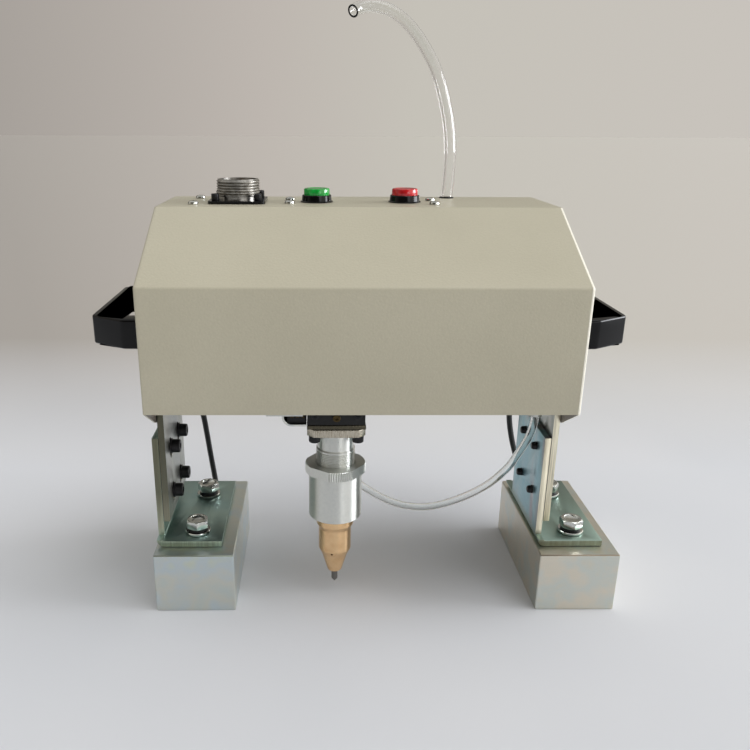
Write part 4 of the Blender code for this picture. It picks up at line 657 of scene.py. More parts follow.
# Brackets: the left upright's edge darkens upward in painted shade, the right upright's edge is a
# near-white painted highlight above its base
BRACKETS = {
    "left": make_zinc(
        "zinc plated bracket, painted shade up its edge", TEAL_FILM,
        ((0.0, "#B4C6B0"), (0.07, "#B4C6B0"), (0.15, "#B9BCA6"), (0.5, "#7C7E6E"), (1.0, "#8A8C79")),
        BRACKET_FOOT, stretch=UPRIGHT_STREAKS, size=20 * MM,
    ),
    "right": make_zinc(
        "zinc plated bracket, blue film", BLUE_FILM,
        ((0.0, "#8B9483"), (0.07, "#8B9483"), (0.12, "#FFF8E0"), (1.0, "#FFF8E0")),
        BRACKET_FOOT, "#93A79D", UPRIGHT_STREAKS, 20 * MM,
    ),
}
BRIGHT_ZINC = make_bright_zinc()
ALUMINIUM = make_lathed(
    "turned aluminium", 2.2 * MM, ((0.22, "#9A9B96"), (0.30, "#DCDEDA"), (0.75, "#E6E7E2")),
    0.5 * MM, 0.0012 * MM, (0.34, 0.38),
)
BRASS = make_lathed(
    "turned brass", 7 * MM, ((0.3, "#E3BB8C"), (0.55, "#F0CB9D"), (0.75, "#E8C194")),
    0.4 * MM, 0.001 * MM, (0.22, 0.26),
)
AGED_BRASS = make_lathed(
    "aged brass", 3 * MM, ((0.3, "#453A26"), (0.7, "#5C4E34")), 0.4 * MM, 0.002 * MM, (0.3, 0.4)
)
# Milled aluminium plate: even silver with straight cutter marks
MILLED = make_grained(
    "milled aluminium", 0.8 * MM, ((0.3, "#B9BAB6"), (0.7, "#CFD0CC")), (0.26, 0.42), depth=0.015 * MM,
    detail=4.0, stretch=(1, 0.08, 1), crisp=0.7, Metallic=1.0,
)
# Ground tungsten carbide: dark grey metal with a dull ground skin
CARBIDE = make_grained(
    "tungsten carbide", 0.5 * MM, ((0.35, "#6E6B68"), (0.65, "#82807C")), (0.3, 0.45), depth=0.01 * MM,
    Metallic=0.8,
)
STEEL = make_steel("ground steel", "#A9ABAB", "#BFC1C0")
# A dark steel tone, used for the adapter plate
DARK_STEEL = make_steel("dark ground steel", "#4A463B", "#5E594B")
FLANGE_STEEL = make_steel("ground flange steel", "#9C9280", "#CDC6B8")
# Black oxide on alloy screws: blue-black and oily, with mottles of a lighter tone
BLACK_OXIDE = make_grained(
    "black oxide steel", 1.5 * MM, ((0.35, "#161618"), (0.7, "#242426")), (0.28, 0.45),
    depth=0.015 * MM, detail=4.0, Metallic=0.5,
)
GLOSS_BLACK = make_plastic(
    "polished black ABS", 9 * MM, "#060607", "#0E0E0F", (0.10, 0.17), 0.04 * MM, 0.2
)
MATT_BLACK = make_plastic("black nylon", 0.6 * MM, "#0D0D0D", "#161616", (0.42, 0.6), 0.02 * MM, 0.3)
SHEATH = make_plastic("black PVC sheath", 1.6 * MM, "#111113", "#1B1B1E", (0.34, 0.48), 0.02 * MM)
NICKEL = make_nickel()
GREEN = make_lens("green polycarbonate", "#06912F", "#16B94A")
RED = make_lens("red polycarbonate", "#B50D18", "#D81F28")
# Clear polyurethane hose: water-clear and glossy, with a faint cool tint along its length
HOSE = make_grained(
    "clear polyurethane hose", 40 * MM, ((0.3, "#F6F8F7"), (0.7, "#FCFCFB")), (0.0, 0.02), detail=1.0,
    IOR=1.36, Transmission_Weight=1.0,
)
# Potting resin over the magnet winding: dark brown, poured, with small flow ripples
RESIN = make_grained(
    "potting resin", 5 * MM, ((0.3, "#201A15"), (0.7, "#2E2620")), (0.3, 0.5), depth=0.1 * MM, IOR=1.55
)


# Camera first, then the cords

def make_camera():
    """The photograph's view."""
    data = bpy.data.cameras.new("camera")
    data.lens = LENS
    data.sensor_width = SENSOR
    data.shift_x = SHIFT_X
    data.shift_y = SHIFT_Y
    data.clip_start = 10 * MM
    camera = bpy.data.objects.new("camera", data)
    bpy.context.scene.collection.objects.link(camera)
    spot = Vector((MIDDLE_X - CAMERA_LEFT, FRONT_Y - CAMERA_BEFORE, CAMERA_HEIGHT))
    view = Matrix.Translation(spot)
    for turn, axis in ((-CAMERA_YAW, "Z"), (pi / 2 - CAMERA_PITCH, "X"), (CAMERA_ROLL, "Z")):
        view = view @ Matrix.Rotation(turn, 4, axis)
    camera.matrix_world = view
    bpy.context.scene.camera = camera


def smooth_route(route, start_share=0.0, end_share=1.0):
    """Evenly spaced points on a smooth curve through the route's points."""
    knots = [at(*point) for point in route]
    knots = [2 * knots[0] - knots[1]] + knots + [2 * knots[-1] - knots[-2]]
    fine = []
    for a, b, c, d in zip(knots, knots[1:], knots[2:], knots[3:]):
        for i in range(KNOT_STEPS):
            t = i / KNOT_STEPS
            fine.append(0.5 * (2 * b + (c - a) * t + (2 * a - 5 * b + 4 * c - d) * t ** 2
                               + (3 * b - a - 3 * c + d) * t ** 3))
    fine.append(knots[-2])
    lengths = [0.0]
    for a, b in zip(fine, fine[1:]):
        lengths.append(lengths[-1] + (b - a).length)
    points = []
    for i in range(ROUTE_STEPS):
        goal = (start_share + (end_share - start_share) * i / (ROUTE_STEPS - 1)) * lengths[-1]
        k = max(j for j in range(len(fine) - 1) if lengths[j] <= goal + CLEAR * MM)
        rest = (goal - lengths[k]) / max(lengths[k + 1] - lengths[k], CLEAR * MM)
        points.append(fine[k].lerp(fine[k + 1], min(rest, 1.0)))
    return points


def tube(points, diameter, wall=0.0, resolution=10):
    """A round tube along points, hollow where it has a wall."""
    curve = bpy.data.curves.new("tube", "CURVE")
    curve.dimensions = "3D"
    curve.bevel_depth = diameter / 2
    curve.bevel_resolution = resolution
    curve.use_fill_caps = not wall
    line = curve.splines.new("POLY")
    line.points.add(len(points) - 1)
    for knot, point in zip(line.points, points):
        knot.co = (*point, 1)
    obj = bpy.data.objects.new("tube", curve)
    bpy.context.scene.collection.objects.link(obj)
    pick(obj)
    bpy.ops.object.convert(target="MESH")
    obj = bpy.context.object
    begin(obj)
    close(obj)
    if wall:
        modify(obj, "SOLIDIFY", thickness=wall, offset=-1)
    return obj


def make_cord(name, slot, points, diameter, wall, finish, bodies):
    """A hose or cable along its points, on its body, or fixed in place when it runs between two."""
    obj = settle(tube(points, diameter, wall), name, finish, 60)
    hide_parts(slot)
    if len(bodies) == 2:
        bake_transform(obj)
    else:
        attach(obj, *bodies)


def make_cords():
    """All hoses and cables."""
    for name, slot, route, far_end in (
        ("air_supply_hose", "supply_hose", SUPPLY_ROUTE, "bare"),
        ("case_hose", "inner_supply_hose", INNER_ROUTE, "object"),
    ):
        points = smooth_route(route)
        make_cord(name, slot, points, SUPPLY_DIAMETER, HOSE_WALL, HOSE, ["head"])
    seam = HOSE_SPLIT_SHARE + HOSE_SEAM_SHARE
    for name, slot, shares, bodies in (
        ("stylus_hose_right", "stylus_hose_upper", (0.0, HOSE_SPLIT_SHARE), ["head", "x_carriage"]),
        ("stylus_hose_left", "stylus_hose_lower", (seam, 1.0), ["x_carriage", "y_carriage"]),
    ):
        points = smooth_route(STYLUS_ROUTE, *shares)
        make_cord(name, slot, points, STYLUS_DIAMETER, STYLUS_WALL, HOSE, bodies)
    for side, route in (("left", LEFT_CABLE_ROUTE), ("right", RIGHT_CABLE_ROUTE)):
        make_cord(
            f"{side}_magnet_lead", f"{side}_magnet_cable", smooth_route(route), CABLE_DIAMETER, 0.0,
            SHEATH, ["feet", "head"],
        )


# Case

SIDES = (("left", -1), ("right", 1))


def case_corners(low, high):
    """The folds of the case in a side view, from the front one back, each with its radius."""
    fold_z = COVER_LOW.z + FRONT_HEIGHT
    return (
        (Vector((0, low.y, fold_z)), FRONT_BEND), (Vector((0, low.y + SLOPE_RUN, high.z)), BEND_RADIUS),
        (Vector((0, high.y, high.z)), BEND_RADIUS),
    )


def round_folds(obj, low, high):
    """Rounds the folds that run across the case."""
    corners = case_corners(low, high)
    spots = [Vector((0, low.y, low.z)), *[spot for spot, _ in corners], Vector((0, high.y, low.z))]
    runs = [(b - a).normalized() for a, b in zip(spots, spots[1:])]
    for (spot, radius), come, leave in zip(corners, runs, runs[1:]):
        choose(obj, lambda p: abs(p.y - spot.y) < CLEAR and abs(p.z - spot.z) < CLEAR)
        reach = radius * tan(come.angle(leave) / 2)
        bpy.ops.mesh.bevel(offset=reach, offset_type="OFFSET", segments=8, affect="EDGES")


def make_cover():
    """The folded cover: a strip drawn over the front, slope, top and back, then given its wall."""
    low = Vector((COVER_LOW.x - COVER_REACH, COVER_LOW.y, COVER_LOW.z))
    high = Vector((COVER_HIGH.x + COVER_REACH, COVER_HIGH.y, COVER_HIGH.z))
    fold_z = low.z + FRONT_HEIGHT
    middle = ((low.x + high.x) / 2, low.y, (low.z + fold_z) / 2)
    obj = strip(middle, (high.x - low.x, fold_z - low.z), (pi / 2, 0, 0))
    spots = [spot for spot, _ in case_corners(low, high)] + [Vector((0, high.y, low.z))]
    begin(obj)
    choose(obj, lambda p: abs(p.z - fold_z) < CLEAR)
    for a, b in zip(spots, spots[1:]):
        bpy.ops.mesh.extrude_region_move(TRANSFORM_OT_translate={"value": b - a})
    round_folds(obj, low, high)
    thicken(obj, SHEET, 1, True)
    begin(obj)
    choose(obj, lambda p: abs(p.z - low.z) < CLEAR)
    bpy.ops.mesh.bevel(offset=SHEET_EDGE, segments=2, affect="EDGES")
    close(obj)
    for name, radius in COVER_HOLES:
        drill(obj, radius, high.z - 4 * SHEET, high.z + 4 * SHEET, middle_of(name)[0])
    dress(obj, "cover", "head", "cover_shell", PAINT, main=True)


def make_side_sheets():
    """End sheets cut to the cover's outline, with the outer edge ground round."""
    for side, out in SIDES:
        low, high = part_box(f"{side}_side_sheet")
        obj = slab(low, high)
        fold, top = (spot for spot, _ in case_corners(low, high)[:2])
        slice_off(obj, fold, Vector((0, fold.z - top.z, top.y - fold.y)))
        for y, away in ((low.y, -1), (high.y, 1)):
            slice_off(obj, Vector((0, y, COVER_LOW.z)), Vector((0, away * SKIRT_DROP, -SKIRT_RUN)))
        begin(obj)
        round_folds(obj, low, high)
        choose(obj, lambda p: p.z < low.z + CLEAR)
        bpy.ops.mesh.bevel(offset=BEND_RADIUS, segments=5, affect="EDGES")
        face = low.x if out < 0 else high.x
        choose(obj, lambda p: abs(p.x - face) < CLEAR)
        bpy.ops.mesh.bevel(offset=SHEET_ROUND, segments=4, affect="EDGES")
        close(obj)
        dress(obj, f"{side}_end_sheet", "head", f"{side}_side_sheet", SHEET_PAINT[side], main=True)


HANDLE_LEG_REACH = 14.0 * MM
HANDLE_GRIP_INSET = 13.0 * MM
HANDLE_FOOT = 12.0 * MM
HANDLE_GRIP = 5.0 * MM
HANDLE_ROUND = 1.5 * MM


def make_handles():
    """Bridge handles: a block with its outer corners cut off, opened for the fingers."""
    for side, out in SIDES:
        low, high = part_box(f"{side}_handle")
        grip_x, foot_x = (low.x, high.x) if out < 0 else (high.x, low.x)
        obj = slab(low, high)
        for y, away in ((low.y, -1), (high.y, 1)):
            leg = Vector((foot_x + out * HANDLE_LEG_REACH, y, 0))
            along = Vector((grip_x, y - away * HANDLE_GRIP_INSET, 0)) - leg
            normal = Vector((along.y, -along.x, 0))
            slice_off(obj, leg, -normal if normal.x * out < 0 else normal)
        near, far = sorted((foot_x - out * SHEET, grip_x - out * HANDLE_GRIP))
        foot_low, foot_high = low.y + HANDLE_FOOT, high.y - HANDLE_FOOT
        combine(obj, slab((near, foot_low, low.z - SHEET), (far, foot_high, high.z + SHEET)))
        round_edges(obj, HANDLE_ROUND, 4, 25)
        dress(obj, f"{side}_bridge_handle", "head", f"{side}_handle", GLOSS_BLACK, main=True, angle=40)


# Fittings on the top

PAN_PROFILE = ((0.94, 0), (1, 0.12), (1, 0.45), (0.93, 0.72), (0.78, 0.9), (0.5, 1), (0.1, 1.03))
RECESS_REACH = 0.55
RECESS_HALF = 0.11
RECESS_FLOOR = 0.45
TOP_SCREW = (6.4 * MM, 2.1 * MM)
TOP_SCREW_TURNS = (0.4, 1.3)
TOP_SCREW_SPOTS = (
    (-103.6, 87.2), (-104.5, 127.2), (-43.2, 92.1), (-43.5, 115.0), (48.6, 88.7), (49.1, 113.4),
)


def pan_head(spot, size, turn):
    """A pan head with a cross recess. Its profile is in shares of its radius and height."""
    radius, height = size[0] / 2, size[1]
    head = turned([(radius * out, height * up) for out, up in PAN_PROFILE], spot, sides=40)
    reach, half, floor = radius * RECESS_REACH, radius * RECESS_HALF, height * RECESS_FLOOR
    for quarter in (0, 1):
        arm = slab((-reach, -half, floor), (reach, half, height * 2))
        combine(head, put(arm, spot, (0, 0, turn + quarter * pi / 2)))
    return head


def make_top_screws():
    """Pan head screws that hold what hangs under the top, each turned its own way."""
    first, step = TOP_SCREW_TURNS
    for i, (x, y) in enumerate(TOP_SCREW_SPOTS):
        spot = Vector((MIDDLE_X + x * MM, FRONT_Y + y * MM, TOP_Z + CLEAR))
        screw = pan_head(spot, TOP_SCREW, first + i * step)
        dress(screw, f"top_screw_{i + 1}", "head", "cover_shell", BRIGHT_ZINC)


QUARTERS = ((-1, -1), (1, -1), (1, 1), (-1, 1))
SHELL = (
    ("foot", ((12.5, 0.0),)),
    ("top", ((12.5, -14.2), (13.05, -14.2), (13.05, -10.6))),
    ("top", thread(-10.6, 1.7, 6, ((13.8, 0.32), (13.8, 0.62), (13.05, 0.94)))),
    ("top", ((13.05, 0.0), (11.5, 0.0))),
    ("foot", ((11.5, 1.5),)),
)
PANEL_FLANGE_LOW = -14.2 * MM
PANEL_FLANGE_TOP = -12.6 * MM
PANEL_FLANGE_CORNER = 3.0 * MM
PANEL_FLANGE_HOLE = 13.05 * MM + CLEAR
PANEL_SCREW = ((2.4, 0.0), (2.5, 0.2), (2.5, 3.9), (2.2, 4.3))
PANEL_SCREW_INSET = 4.6 * MM
PANEL_SCREW_KEY = 2.5 * MM
PANEL_SCREW_FLOOR = 2.6 * MM
INSERT_KEY_HALF = 1.2 * MM
INSERT_KEY_DEPTH = 2.2 * MM
CONTACT = ((0.9, 0.0), (0.9, 3.6), (0.7, 4.2), (0.3, 4.4))
CONTACT_HEIGHT = 4.5 * MM
CONTACT_COUNT = 8
CONTACT_CIRCLE = 6.9 * MM


def corner_of(low, high, quarter, z):
    """One upright corner of a box, at a level."""
    across, deep = quarter
    return Vector(((high if across > 0 else low).x, (high if deep > 0 else low).y, z))


def make_connector_shell():
    """The connector's threaded silver shell on a black flange with four tall screws."""
    shell = turned_node("connector_shell", SHELL, 96)
    dress(shell, "connector_body", "head", "connector_shell", NICKEL, main=True)
    centre, low, high = middle_of("connector_shell")
    base, top = high.z + PANEL_FLANGE_LOW, high.z + PANEL_FLANGE_TOP
    flange = slab((low.x, low.y, base), (high.x, high.y, top))
    begin(flange, "EDGE")
    bpy.ops.object.mode_set(mode="OBJECT")
    for edge in flange.data.edges:
        a, b = (flange.data.vertices[i].co for i in edge.vertices)
        edge.select = abs(a.z - b.z) > CLEAR
    bpy.ops.object.mode_set(mode="EDIT")
    bpy.ops.mesh.bevel(offset=PANEL_FLANGE_CORNER, segments=6, affect="EDGES")
    close(flange)
    drill(flange, PANEL_FLANGE_HOLE, base - SHEET, base + 4 * SHEET, centre, sides=96)
    dress(flange, "connector_flange", "head", "connector_shell", GLOSS_BLACK)
    for i, quarter in enumerate(QUARTERS):
        inset = Vector((*quarter, 0)) * PANEL_SCREW_INSET
        spot = corner_of(low, high, quarter, top + CLEAR) - inset
        screw = turned(rings(PANEL_SCREW), spot, sides=36)
        combine(screw, prism(6, PANEL_SCREW_KEY, PANEL_SCREW_FLOOR, 4 * PANEL_SCREW_KEY, spot, i))
        dress(screw, f"connector_screw_{i + 1}", "head", "connector_shell", BLACK_OXIDE)


def make_connector_core():
    """The connector's black insert with its key slot and a circle of brass contacts."""
    centre, low, high = middle_of("connector_insert")
    face = high.z - CONTACT_HEIGHT
    radius = (high.x - low.x) / 2
    insert = turned([(radius, low.z), (radius, face)], centre)
    edge = centre.y + radius
    key = slab(
        (centre.x - INSERT_KEY_HALF, edge - INSERT_KEY_DEPTH, face - 2 * SHEET),
        (centre.x + INSERT_KEY_HALF, edge + SHEET, face + SHEET),
    )
    combine(insert, key)
    dress(insert, "connector_core", "head", "connector_insert", MATT_BLACK, main=True)
    for i in range(CONTACT_COUNT):
        turn = 2 * pi * i / CONTACT_COUNT
        aside = Vector((CONTACT_CIRCLE * cos(turn), CONTACT_CIRCLE * sin(turn), face + CLEAR))
        contact = turned(rings(CONTACT), centre + aside, sides=20)
        dress(contact, f"contact_{i + 1}", "head", "connector_insert", BRASS, angle=50)


BEZEL = (
    ("foot", ((7.2, 0.0), (7.5, 0.4))),
    ("top", (
        (7.5, -4.3), (10.5, -4.3), (10.5, -4.0), (10.2, -3.75), (9.75, -3.6), (9.7, -3.3), (9.45, -0.35),
        (9.1, 0.0), (8.8, 0.0), (8.8, -3.5), (6.0, -3.5), (6.0, -7.4),
    )),
)
CAP = (
    ("foot", ((5.7, 0.0),)),
    ("top", (
        (5.7, -4.8), (8.4, -4.8), (8.5, -4.5), (8.3, -0.8), (8.1, -0.3), (7.6, 0.0), (6.3, 0.0),
        (6.0, -0.25), (1.0, -0.15),
    )),
)
INLET = (
    ("foot", ((6.4, 0.0), (7.0, 0.6))),
    ("top", ((7.0, -3.0), (6.5, -2.4), (4.9, -2.4), (4.9, -0.15), (4.7, 0.0), (4.25, 0.0), (4.25, -9.9))),
)


def make_buttons():
    """Push buttons: black bezel on a thin flange, and a tinted lens cap that moves."""
    for colour, finish in (("green", GREEN), ("red", RED)):
        slot = f"{colour}_switch_body"
        dress(turned_node(slot, BEZEL, 80), f"{colour}_bezel", "head", slot, GLOSS_BLACK, main=True)
        slot = f"{colour}_cap"
        dress(turned_node(slot, CAP, 80), f"{colour}_lens", slot, slot, finish, main=True)


def make_inlet():
    """Hose inlet: push-in fitting whose collet ring stands just proud of the top."""
    inlet = turned_node("inlet_fitting", INLET)
    dress(inlet, "hose_inlet", "head", "inlet_fitting", MATT_BLACK, main=True)


# Feet

FOOT_WASHER = ((7.9, 0.0), (8.1, 0.25), (8.1, 1.25), (7.75, 1.6))
LOCK_WASHER = ((6.1, 1.65), (6.3, 1.8), (6.3, 3.4), (6.1, 3.55))
SPLIT_LOW = (0, -0.55 * MM, 0.1 * MM)
SPLIT_HIGH = (8.0 * MM, 0.55 * MM, 5.1 * MM)
SPLIT_TURN = (radians(-20), 0, 0.6)
HEX_LOW = 3.6 * MM
HEX_TOP = 9.1 * MM
HEX_FLATS = 13.0 * MM
HEX_CHAMFER = ((6.305, 3.55), (7.605, 4.1), (7.605, 8.0), (6.24, 9.15))
HEX_DISH = ((3.575, 8.35), (4.68, 8.75), (5.07, 10.6))
HEX_SHANK = ((4.0, -16.2), (4.0, 3.65))
HEX_ROUND = 0.18 * MM
HEX_TURN = 0.35
HEX_TURN_PER_METRE = 7


def hex_bolt(spot):
    """A hex bolt with a chamfered, dished head, its split lock washer and plain washer."""
    washer = turned(rings(FOOT_WASHER), spot, sides=72)
    lock = turned(rings(LOCK_WASHER), spot)
    combine(lock, put(slab(SPLIT_LOW, SPLIT_HIGH), spot, SPLIT_TURN))
    head = prism(6, HEX_FLATS, HEX_LOW, HEX_TOP, spot, HEX_TURN + spot.y * HEX_TURN_PER_METRE)
    combine(head, turned(rings(HEX_CHAMFER), spot, sides=72), "INTERSECT")
    combine(head, turned(rings(HEX_DISH), spot))
    combine(head, turned(rings(HEX_SHANK), spot, sides=40), "UNION")
    return round_edges(head, HEX_ROUND, 2, 25), lock, washer


def make_foot_bolts():
    """The four bolts that hold the brackets on the magnet blocks."""
    for side in ("left", "right"):
        for end in ("front", "back"):
            slot = f"{side}_{end}_foot_bolt"
            name = f"{side}_{end}_hex_bolt"
            centre, _, high = middle_of(slot)
            head, lock, washer = hex_bolt(centre + Vector((0, 0, high.z - HEX_TOP)))
            dress(head, name, "feet", slot, BRIGHT_ZINC, main=True)
            dress(lock, f"{name}_lock_washer", "feet", slot, BLACK_OXIDE, angle=40)
            dress(washer, f"{name}_washer", "feet", slot, BRIGHT_ZINC, angle=40)


# Shares of a socket head: shank radii at its rounded end, knurled band, socket floor
SHANK_TIP = (0.3, 0.43)
SHANK_ROUND = 1.2 * MM
HEAD_ROUND = ((1, 0.8), (0.96, 0.93), (0.86, 1))
HEAD_KNURL = (0.05, 0.85)
HEAD_KNURL_DEPTH = 0.045
SOCKET_FLOOR = 0.5


def socket_screw(spot, head_size, shank, reach, key, axis, sides=48):
    """A socket head screw: knurled, rounded head with a hexagon socket, and its shank."""
    radius, height = head_size[0] / 2, head_size[1]
    profile = [
        (shank * SHANK_TIP[0], -reach), (shank * SHANK_TIP[1], SHANK_ROUND / 3 - reach),
        (shank / 2, SHANK_ROUND - reach), (shank / 2, 0), (radius, 0),
        *[(radius * out, height * up) for out, up in HEAD_ROUND],
    ]
    origin = Vector((0, 0, 0))
    screw = turned(profile, origin, sides=sides)
    low, high = (height * share for share in HEAD_KNURL)
    ridge(screw, origin, sides, low, high, radius, radius * HEAD_KNURL_DEPTH)
    combine(screw, prism(6, key, height * SOCKET_FLOOR, height * 2, origin))
    return put(screw, spot, AXIS_TURNS[axis])


CLAMP_WASHER = ((4.75, 0.0), (5.0, 0.15), (5.0, 0.8), (4.7, 0.95))
CLAMP_WASHER_HEIGHT = 1.0 * MM
CLAMP_HEAD = 8.5 * MM
CLAMP_HEAD_HEIGHTS = {"left": 5.0 * MM, "right": 2.6 * MM}
CLAMP_SHANK = 5.0 * MM
CLAMP_KEY = 4.0 * MM


def make_clamp_screws():
    """Socket screws through the slots over thin washers, with low heads on the right."""
    for side, height in CLAMP_HEAD_HEIGHTS.items():
        for i in range(1, 5):
            slot = f"{side}_clamp_screw_{i}"
            low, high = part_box(slot)
            face = high.x - height - CLAMP_WASHER_HEIGHT
            spot = Vector((face, (low.y + high.y) / 2, (low.z + high.z) / 2))
            washer = turned(rings(CLAMP_WASHER), spot, "X", 48)
            under = spot + Vector((CLAMP_WASHER_HEIGHT, 0, 0))
            head = (CLAMP_HEAD, height)
            screw = socket_screw(under, head, CLAMP_SHANK, under.x - low.x, CLAMP_KEY, "X")
            dress(screw, f"{side}_socket_screw_{i}", "feet", slot, BLACK_OXIDE, main=True)
            dress(washer, f"{side}_clamp_washer_{i}", "feet", slot, BLACK_OXIDE, angle=40)


BRACKET_EDGE = 0.35 * MM
COIL_EDGE = 0.4 * MM
GLAND = ((3.0, 0.0), (3.0, 7.3), (4.0, 7.3), (4.0, 9.0), (3.6, 9.3), (3.44, 10.6), (2.88, 11.0))


def make_feet():
    """Magnet blocks, brackets, coils and cable glands."""
    for side in ("left", "right"):
        machined(f"{side}_magnet_block", "feet", BLOCKS[side], 0.0)
        machined(f"{side}_foot_bracket", "feet", BRACKETS[side], BRACKET_EDGE)
        machined(f"{side}_magnet_coil", "feet", RESIN, COIL_EDGE)
        slot = f"{side}_cable_gland"
        centre, low, high = middle_of(slot)
        gland = turned(rings(GLAND), Vector((centre.x, low.y, (low.z + high.z) / 2)), "Y", 48)
        dress(gland, f"{side}_gland_body", "feet", slot, MATT_BLACK, main=True)


# Frame and drives inside the case

def make_frame():
    """The machined pieces with their bodies, their finishes and their edges in millimetres."""
    for name, body, finish, width in (
        ("left_frame_plate", "head", PLATES["left"], 0.3),
        ("right_frame_plate", "head", PLATES["right"], 0.3),
        ("top_plate", "head", MILLED, 0.4), ("x_rail", "head", STEEL, 0.2),
        ("x_motor", "head", BLACK_OXIDE, 0.4), ("air_valve", "head", MILLED, 0.5),
        ("x_screw", "x_screw", STEEL, 0.2), ("x_carriage", "x_carriage", STEEL, 0.3),
        ("y_beam", "x_carriage", MILLED, 0.4), ("y_rail", "x_carriage", STEEL, 0.2),
        ("y_motor", "x_carriage", BLACK_OXIDE, 0.4), ("y_screw", "y_screw", STEEL, 0.2),
        ("y_carriage", "y_carriage", STEEL, 0.3), ("y_carriage_end_cap", "y_carriage", MATT_BLACK, 0.6),
        ("adapter_plate", "y_carriage", DARK_STEEL, 0.4), ("air_elbow", "y_carriage", MATT_BLACK, 0.3),
    ):
        machined(name, body, finish, width * MM)


END_CAP_SCREW = (4.6 * MM, 1.4 * MM)
END_CAP_SCREW_ASIDE = 12.6 * MM
END_CAP_SCREW_UP = 6.2 * MM
END_CAP_SCREW_TURN = 0.5
END_CAP_PORT = ((2.3, 0.05), (2.3, 0.7), (1.9, 1.0), (1.0, 1.0), (0.9, 0.3))
END_CAP_PORT_UP = 4.6 * MM


def make_end_cap_details():
    """Two cover screws and the grease port in the front of the guide block's end cap."""
    centre, low, _ = middle_of("y_carriage_end_cap")
    for i, across in enumerate((-1, 1)):
        spot = Vector((centre.x + across * END_CAP_SCREW_ASIDE, low.y, low.z + END_CAP_SCREW_UP))
        head = pan_head(Vector((0, 0, CLEAR)), END_CAP_SCREW, END_CAP_SCREW_TURN + i)
        put(head, spot, AXIS_TURNS["-Y"])
        dress(head, f"end_cap_screw_{i + 1}", "y_carriage", "y_carriage_end_cap", BLACK_OXIDE)
    port = turned(rings(END_CAP_PORT), Vector((centre.x, low.y, low.z + END_CAP_PORT_UP)), "-Y", 36)
    dress(port, "end_cap_port", "y_carriage", "y_carriage_end_cap", AGED_BRASS)


TRAY_SHEET = 1.3 * MM
TRAY_RADIUS = 6.0 * MM
TRAY_EDGE = 0.15 * MM
SWITCH_HEIGHT = 6.2 * MM
SWITCH_INSETS = (3.0 * MM, 1.6 * MM, 0.3 * MM)
SWITCH_ROUND = 0.5 * MM
TAB_FIRST = 5.2 * MM
TAB_SPACING = 3.3 * MM
TAB_WIDTH = 1.8 * MM
TAB_REACH = 0.6 * MM
TAB_UP = 4.6 * MM
TAB_SHEET = 0.5 * MM
TAB_HOLE = 0.4 * MM
TAB_HOLE_SPOT = (0.9 * MM, 0.2 * MM, 0.2 * MM)


def make_switch_tray():
    """The home switch's bright tray: a strip folded up along its low side."""
    low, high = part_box("home_switch")
    middle = ((low.x + high.x) / 2, (low.y + high.y) / 2, low.z)
    tray = strip(middle, (high.x - low.x, high.y - low.y))
    begin(tray)
    choose(tray, lambda p: abs(p.x - low.x) < CLEAR)
    bpy.ops.mesh.extrude_region_move(TRANSFORM_OT_translate={"value": (0, 0, high.z - low.z)})
    choose(tray, lambda p: abs(p.x - low.x) < CLEAR and abs(p.z - low.z) < CLEAR)
    bpy.ops.mesh.bevel(offset=TRAY_RADIUS, segments=10, affect="EDGES")
    thicken(tray, TRAY_SHEET, 2, False)
    begin(tray)
    close(tray)
    round_edges(tray, TRAY_EDGE, 2, 60)
    dress(tray, "switch_tray", "y_carriage", "home_switch", BRIGHT_ZINC, main=True, angle=35)


def make_home_switch():
    """The home switch's black body on its tray, with three brass terminals at the front."""
    low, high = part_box("home_switch")
    floor = low.z + TRAY_SHEET
    left, deep, right = SWITCH_INSETS
    body = slab(
        (low.x + left, low.y + deep, floor + CLEAR), (high.x - right, high.y - deep, floor + SWITCH_HEIGHT)
    )
    round_edges(body, SWITCH_ROUND)
    dress(body, "switch_case", "y_carriage", "home_switch", MATT_BLACK, angle=35)
    for i in range(3):
        corner = Vector((low.x + TAB_FIRST + i * TAB_SPACING, low.y, floor + TAB_UP))
        tab = slab(
            corner - Vector((0, TAB_REACH, 0)), corner + Vector((TAB_WIDTH, deep - CLEAR, TAB_SHEET))
        )
        drill(tab, TAB_HOLE, -SHEET, SHEET, corner + Vector(TAB_HOLE_SPOT), sides=16)
        dress(tab, f"switch_terminal_{i + 1}", "y_carriage", "home_switch", AGED_BRASS, angle=35)


# Stylus

CYLINDER = (
    ("foot", ((11.4, 0.0), (12.0, 0.6))),
    ("top", ((12.0, -29.2),)),
    ("top", thread(-29.2, 1.06, 10, ((11.45, 0.35), (12.0, 0.8), (12.0, 1.0)))),
    ("top", ((12.0, -17.9), (11.3, -17.0), (11.3, -3.5), (4.0, -3.5))),
    ("foot", ((4.0, 1.5),)),
)
FLANGE_HEIGHT = 5.0 * MM
FLANGE_CORNER = 4.0 * MM
FLANGE_ROUND = 0.5 * MM
FLANGE_HOLE = 11.3 * MM
FLANGE_SCREW_ASIDE = 13.0 * MM
# Its head's diameter and height, then shank, reach and key
FLANGE_SCREW = ((7.0 * MM, 4.0 * MM), 3.4 * MM, 3.0 * MM, 3.0 * MM)


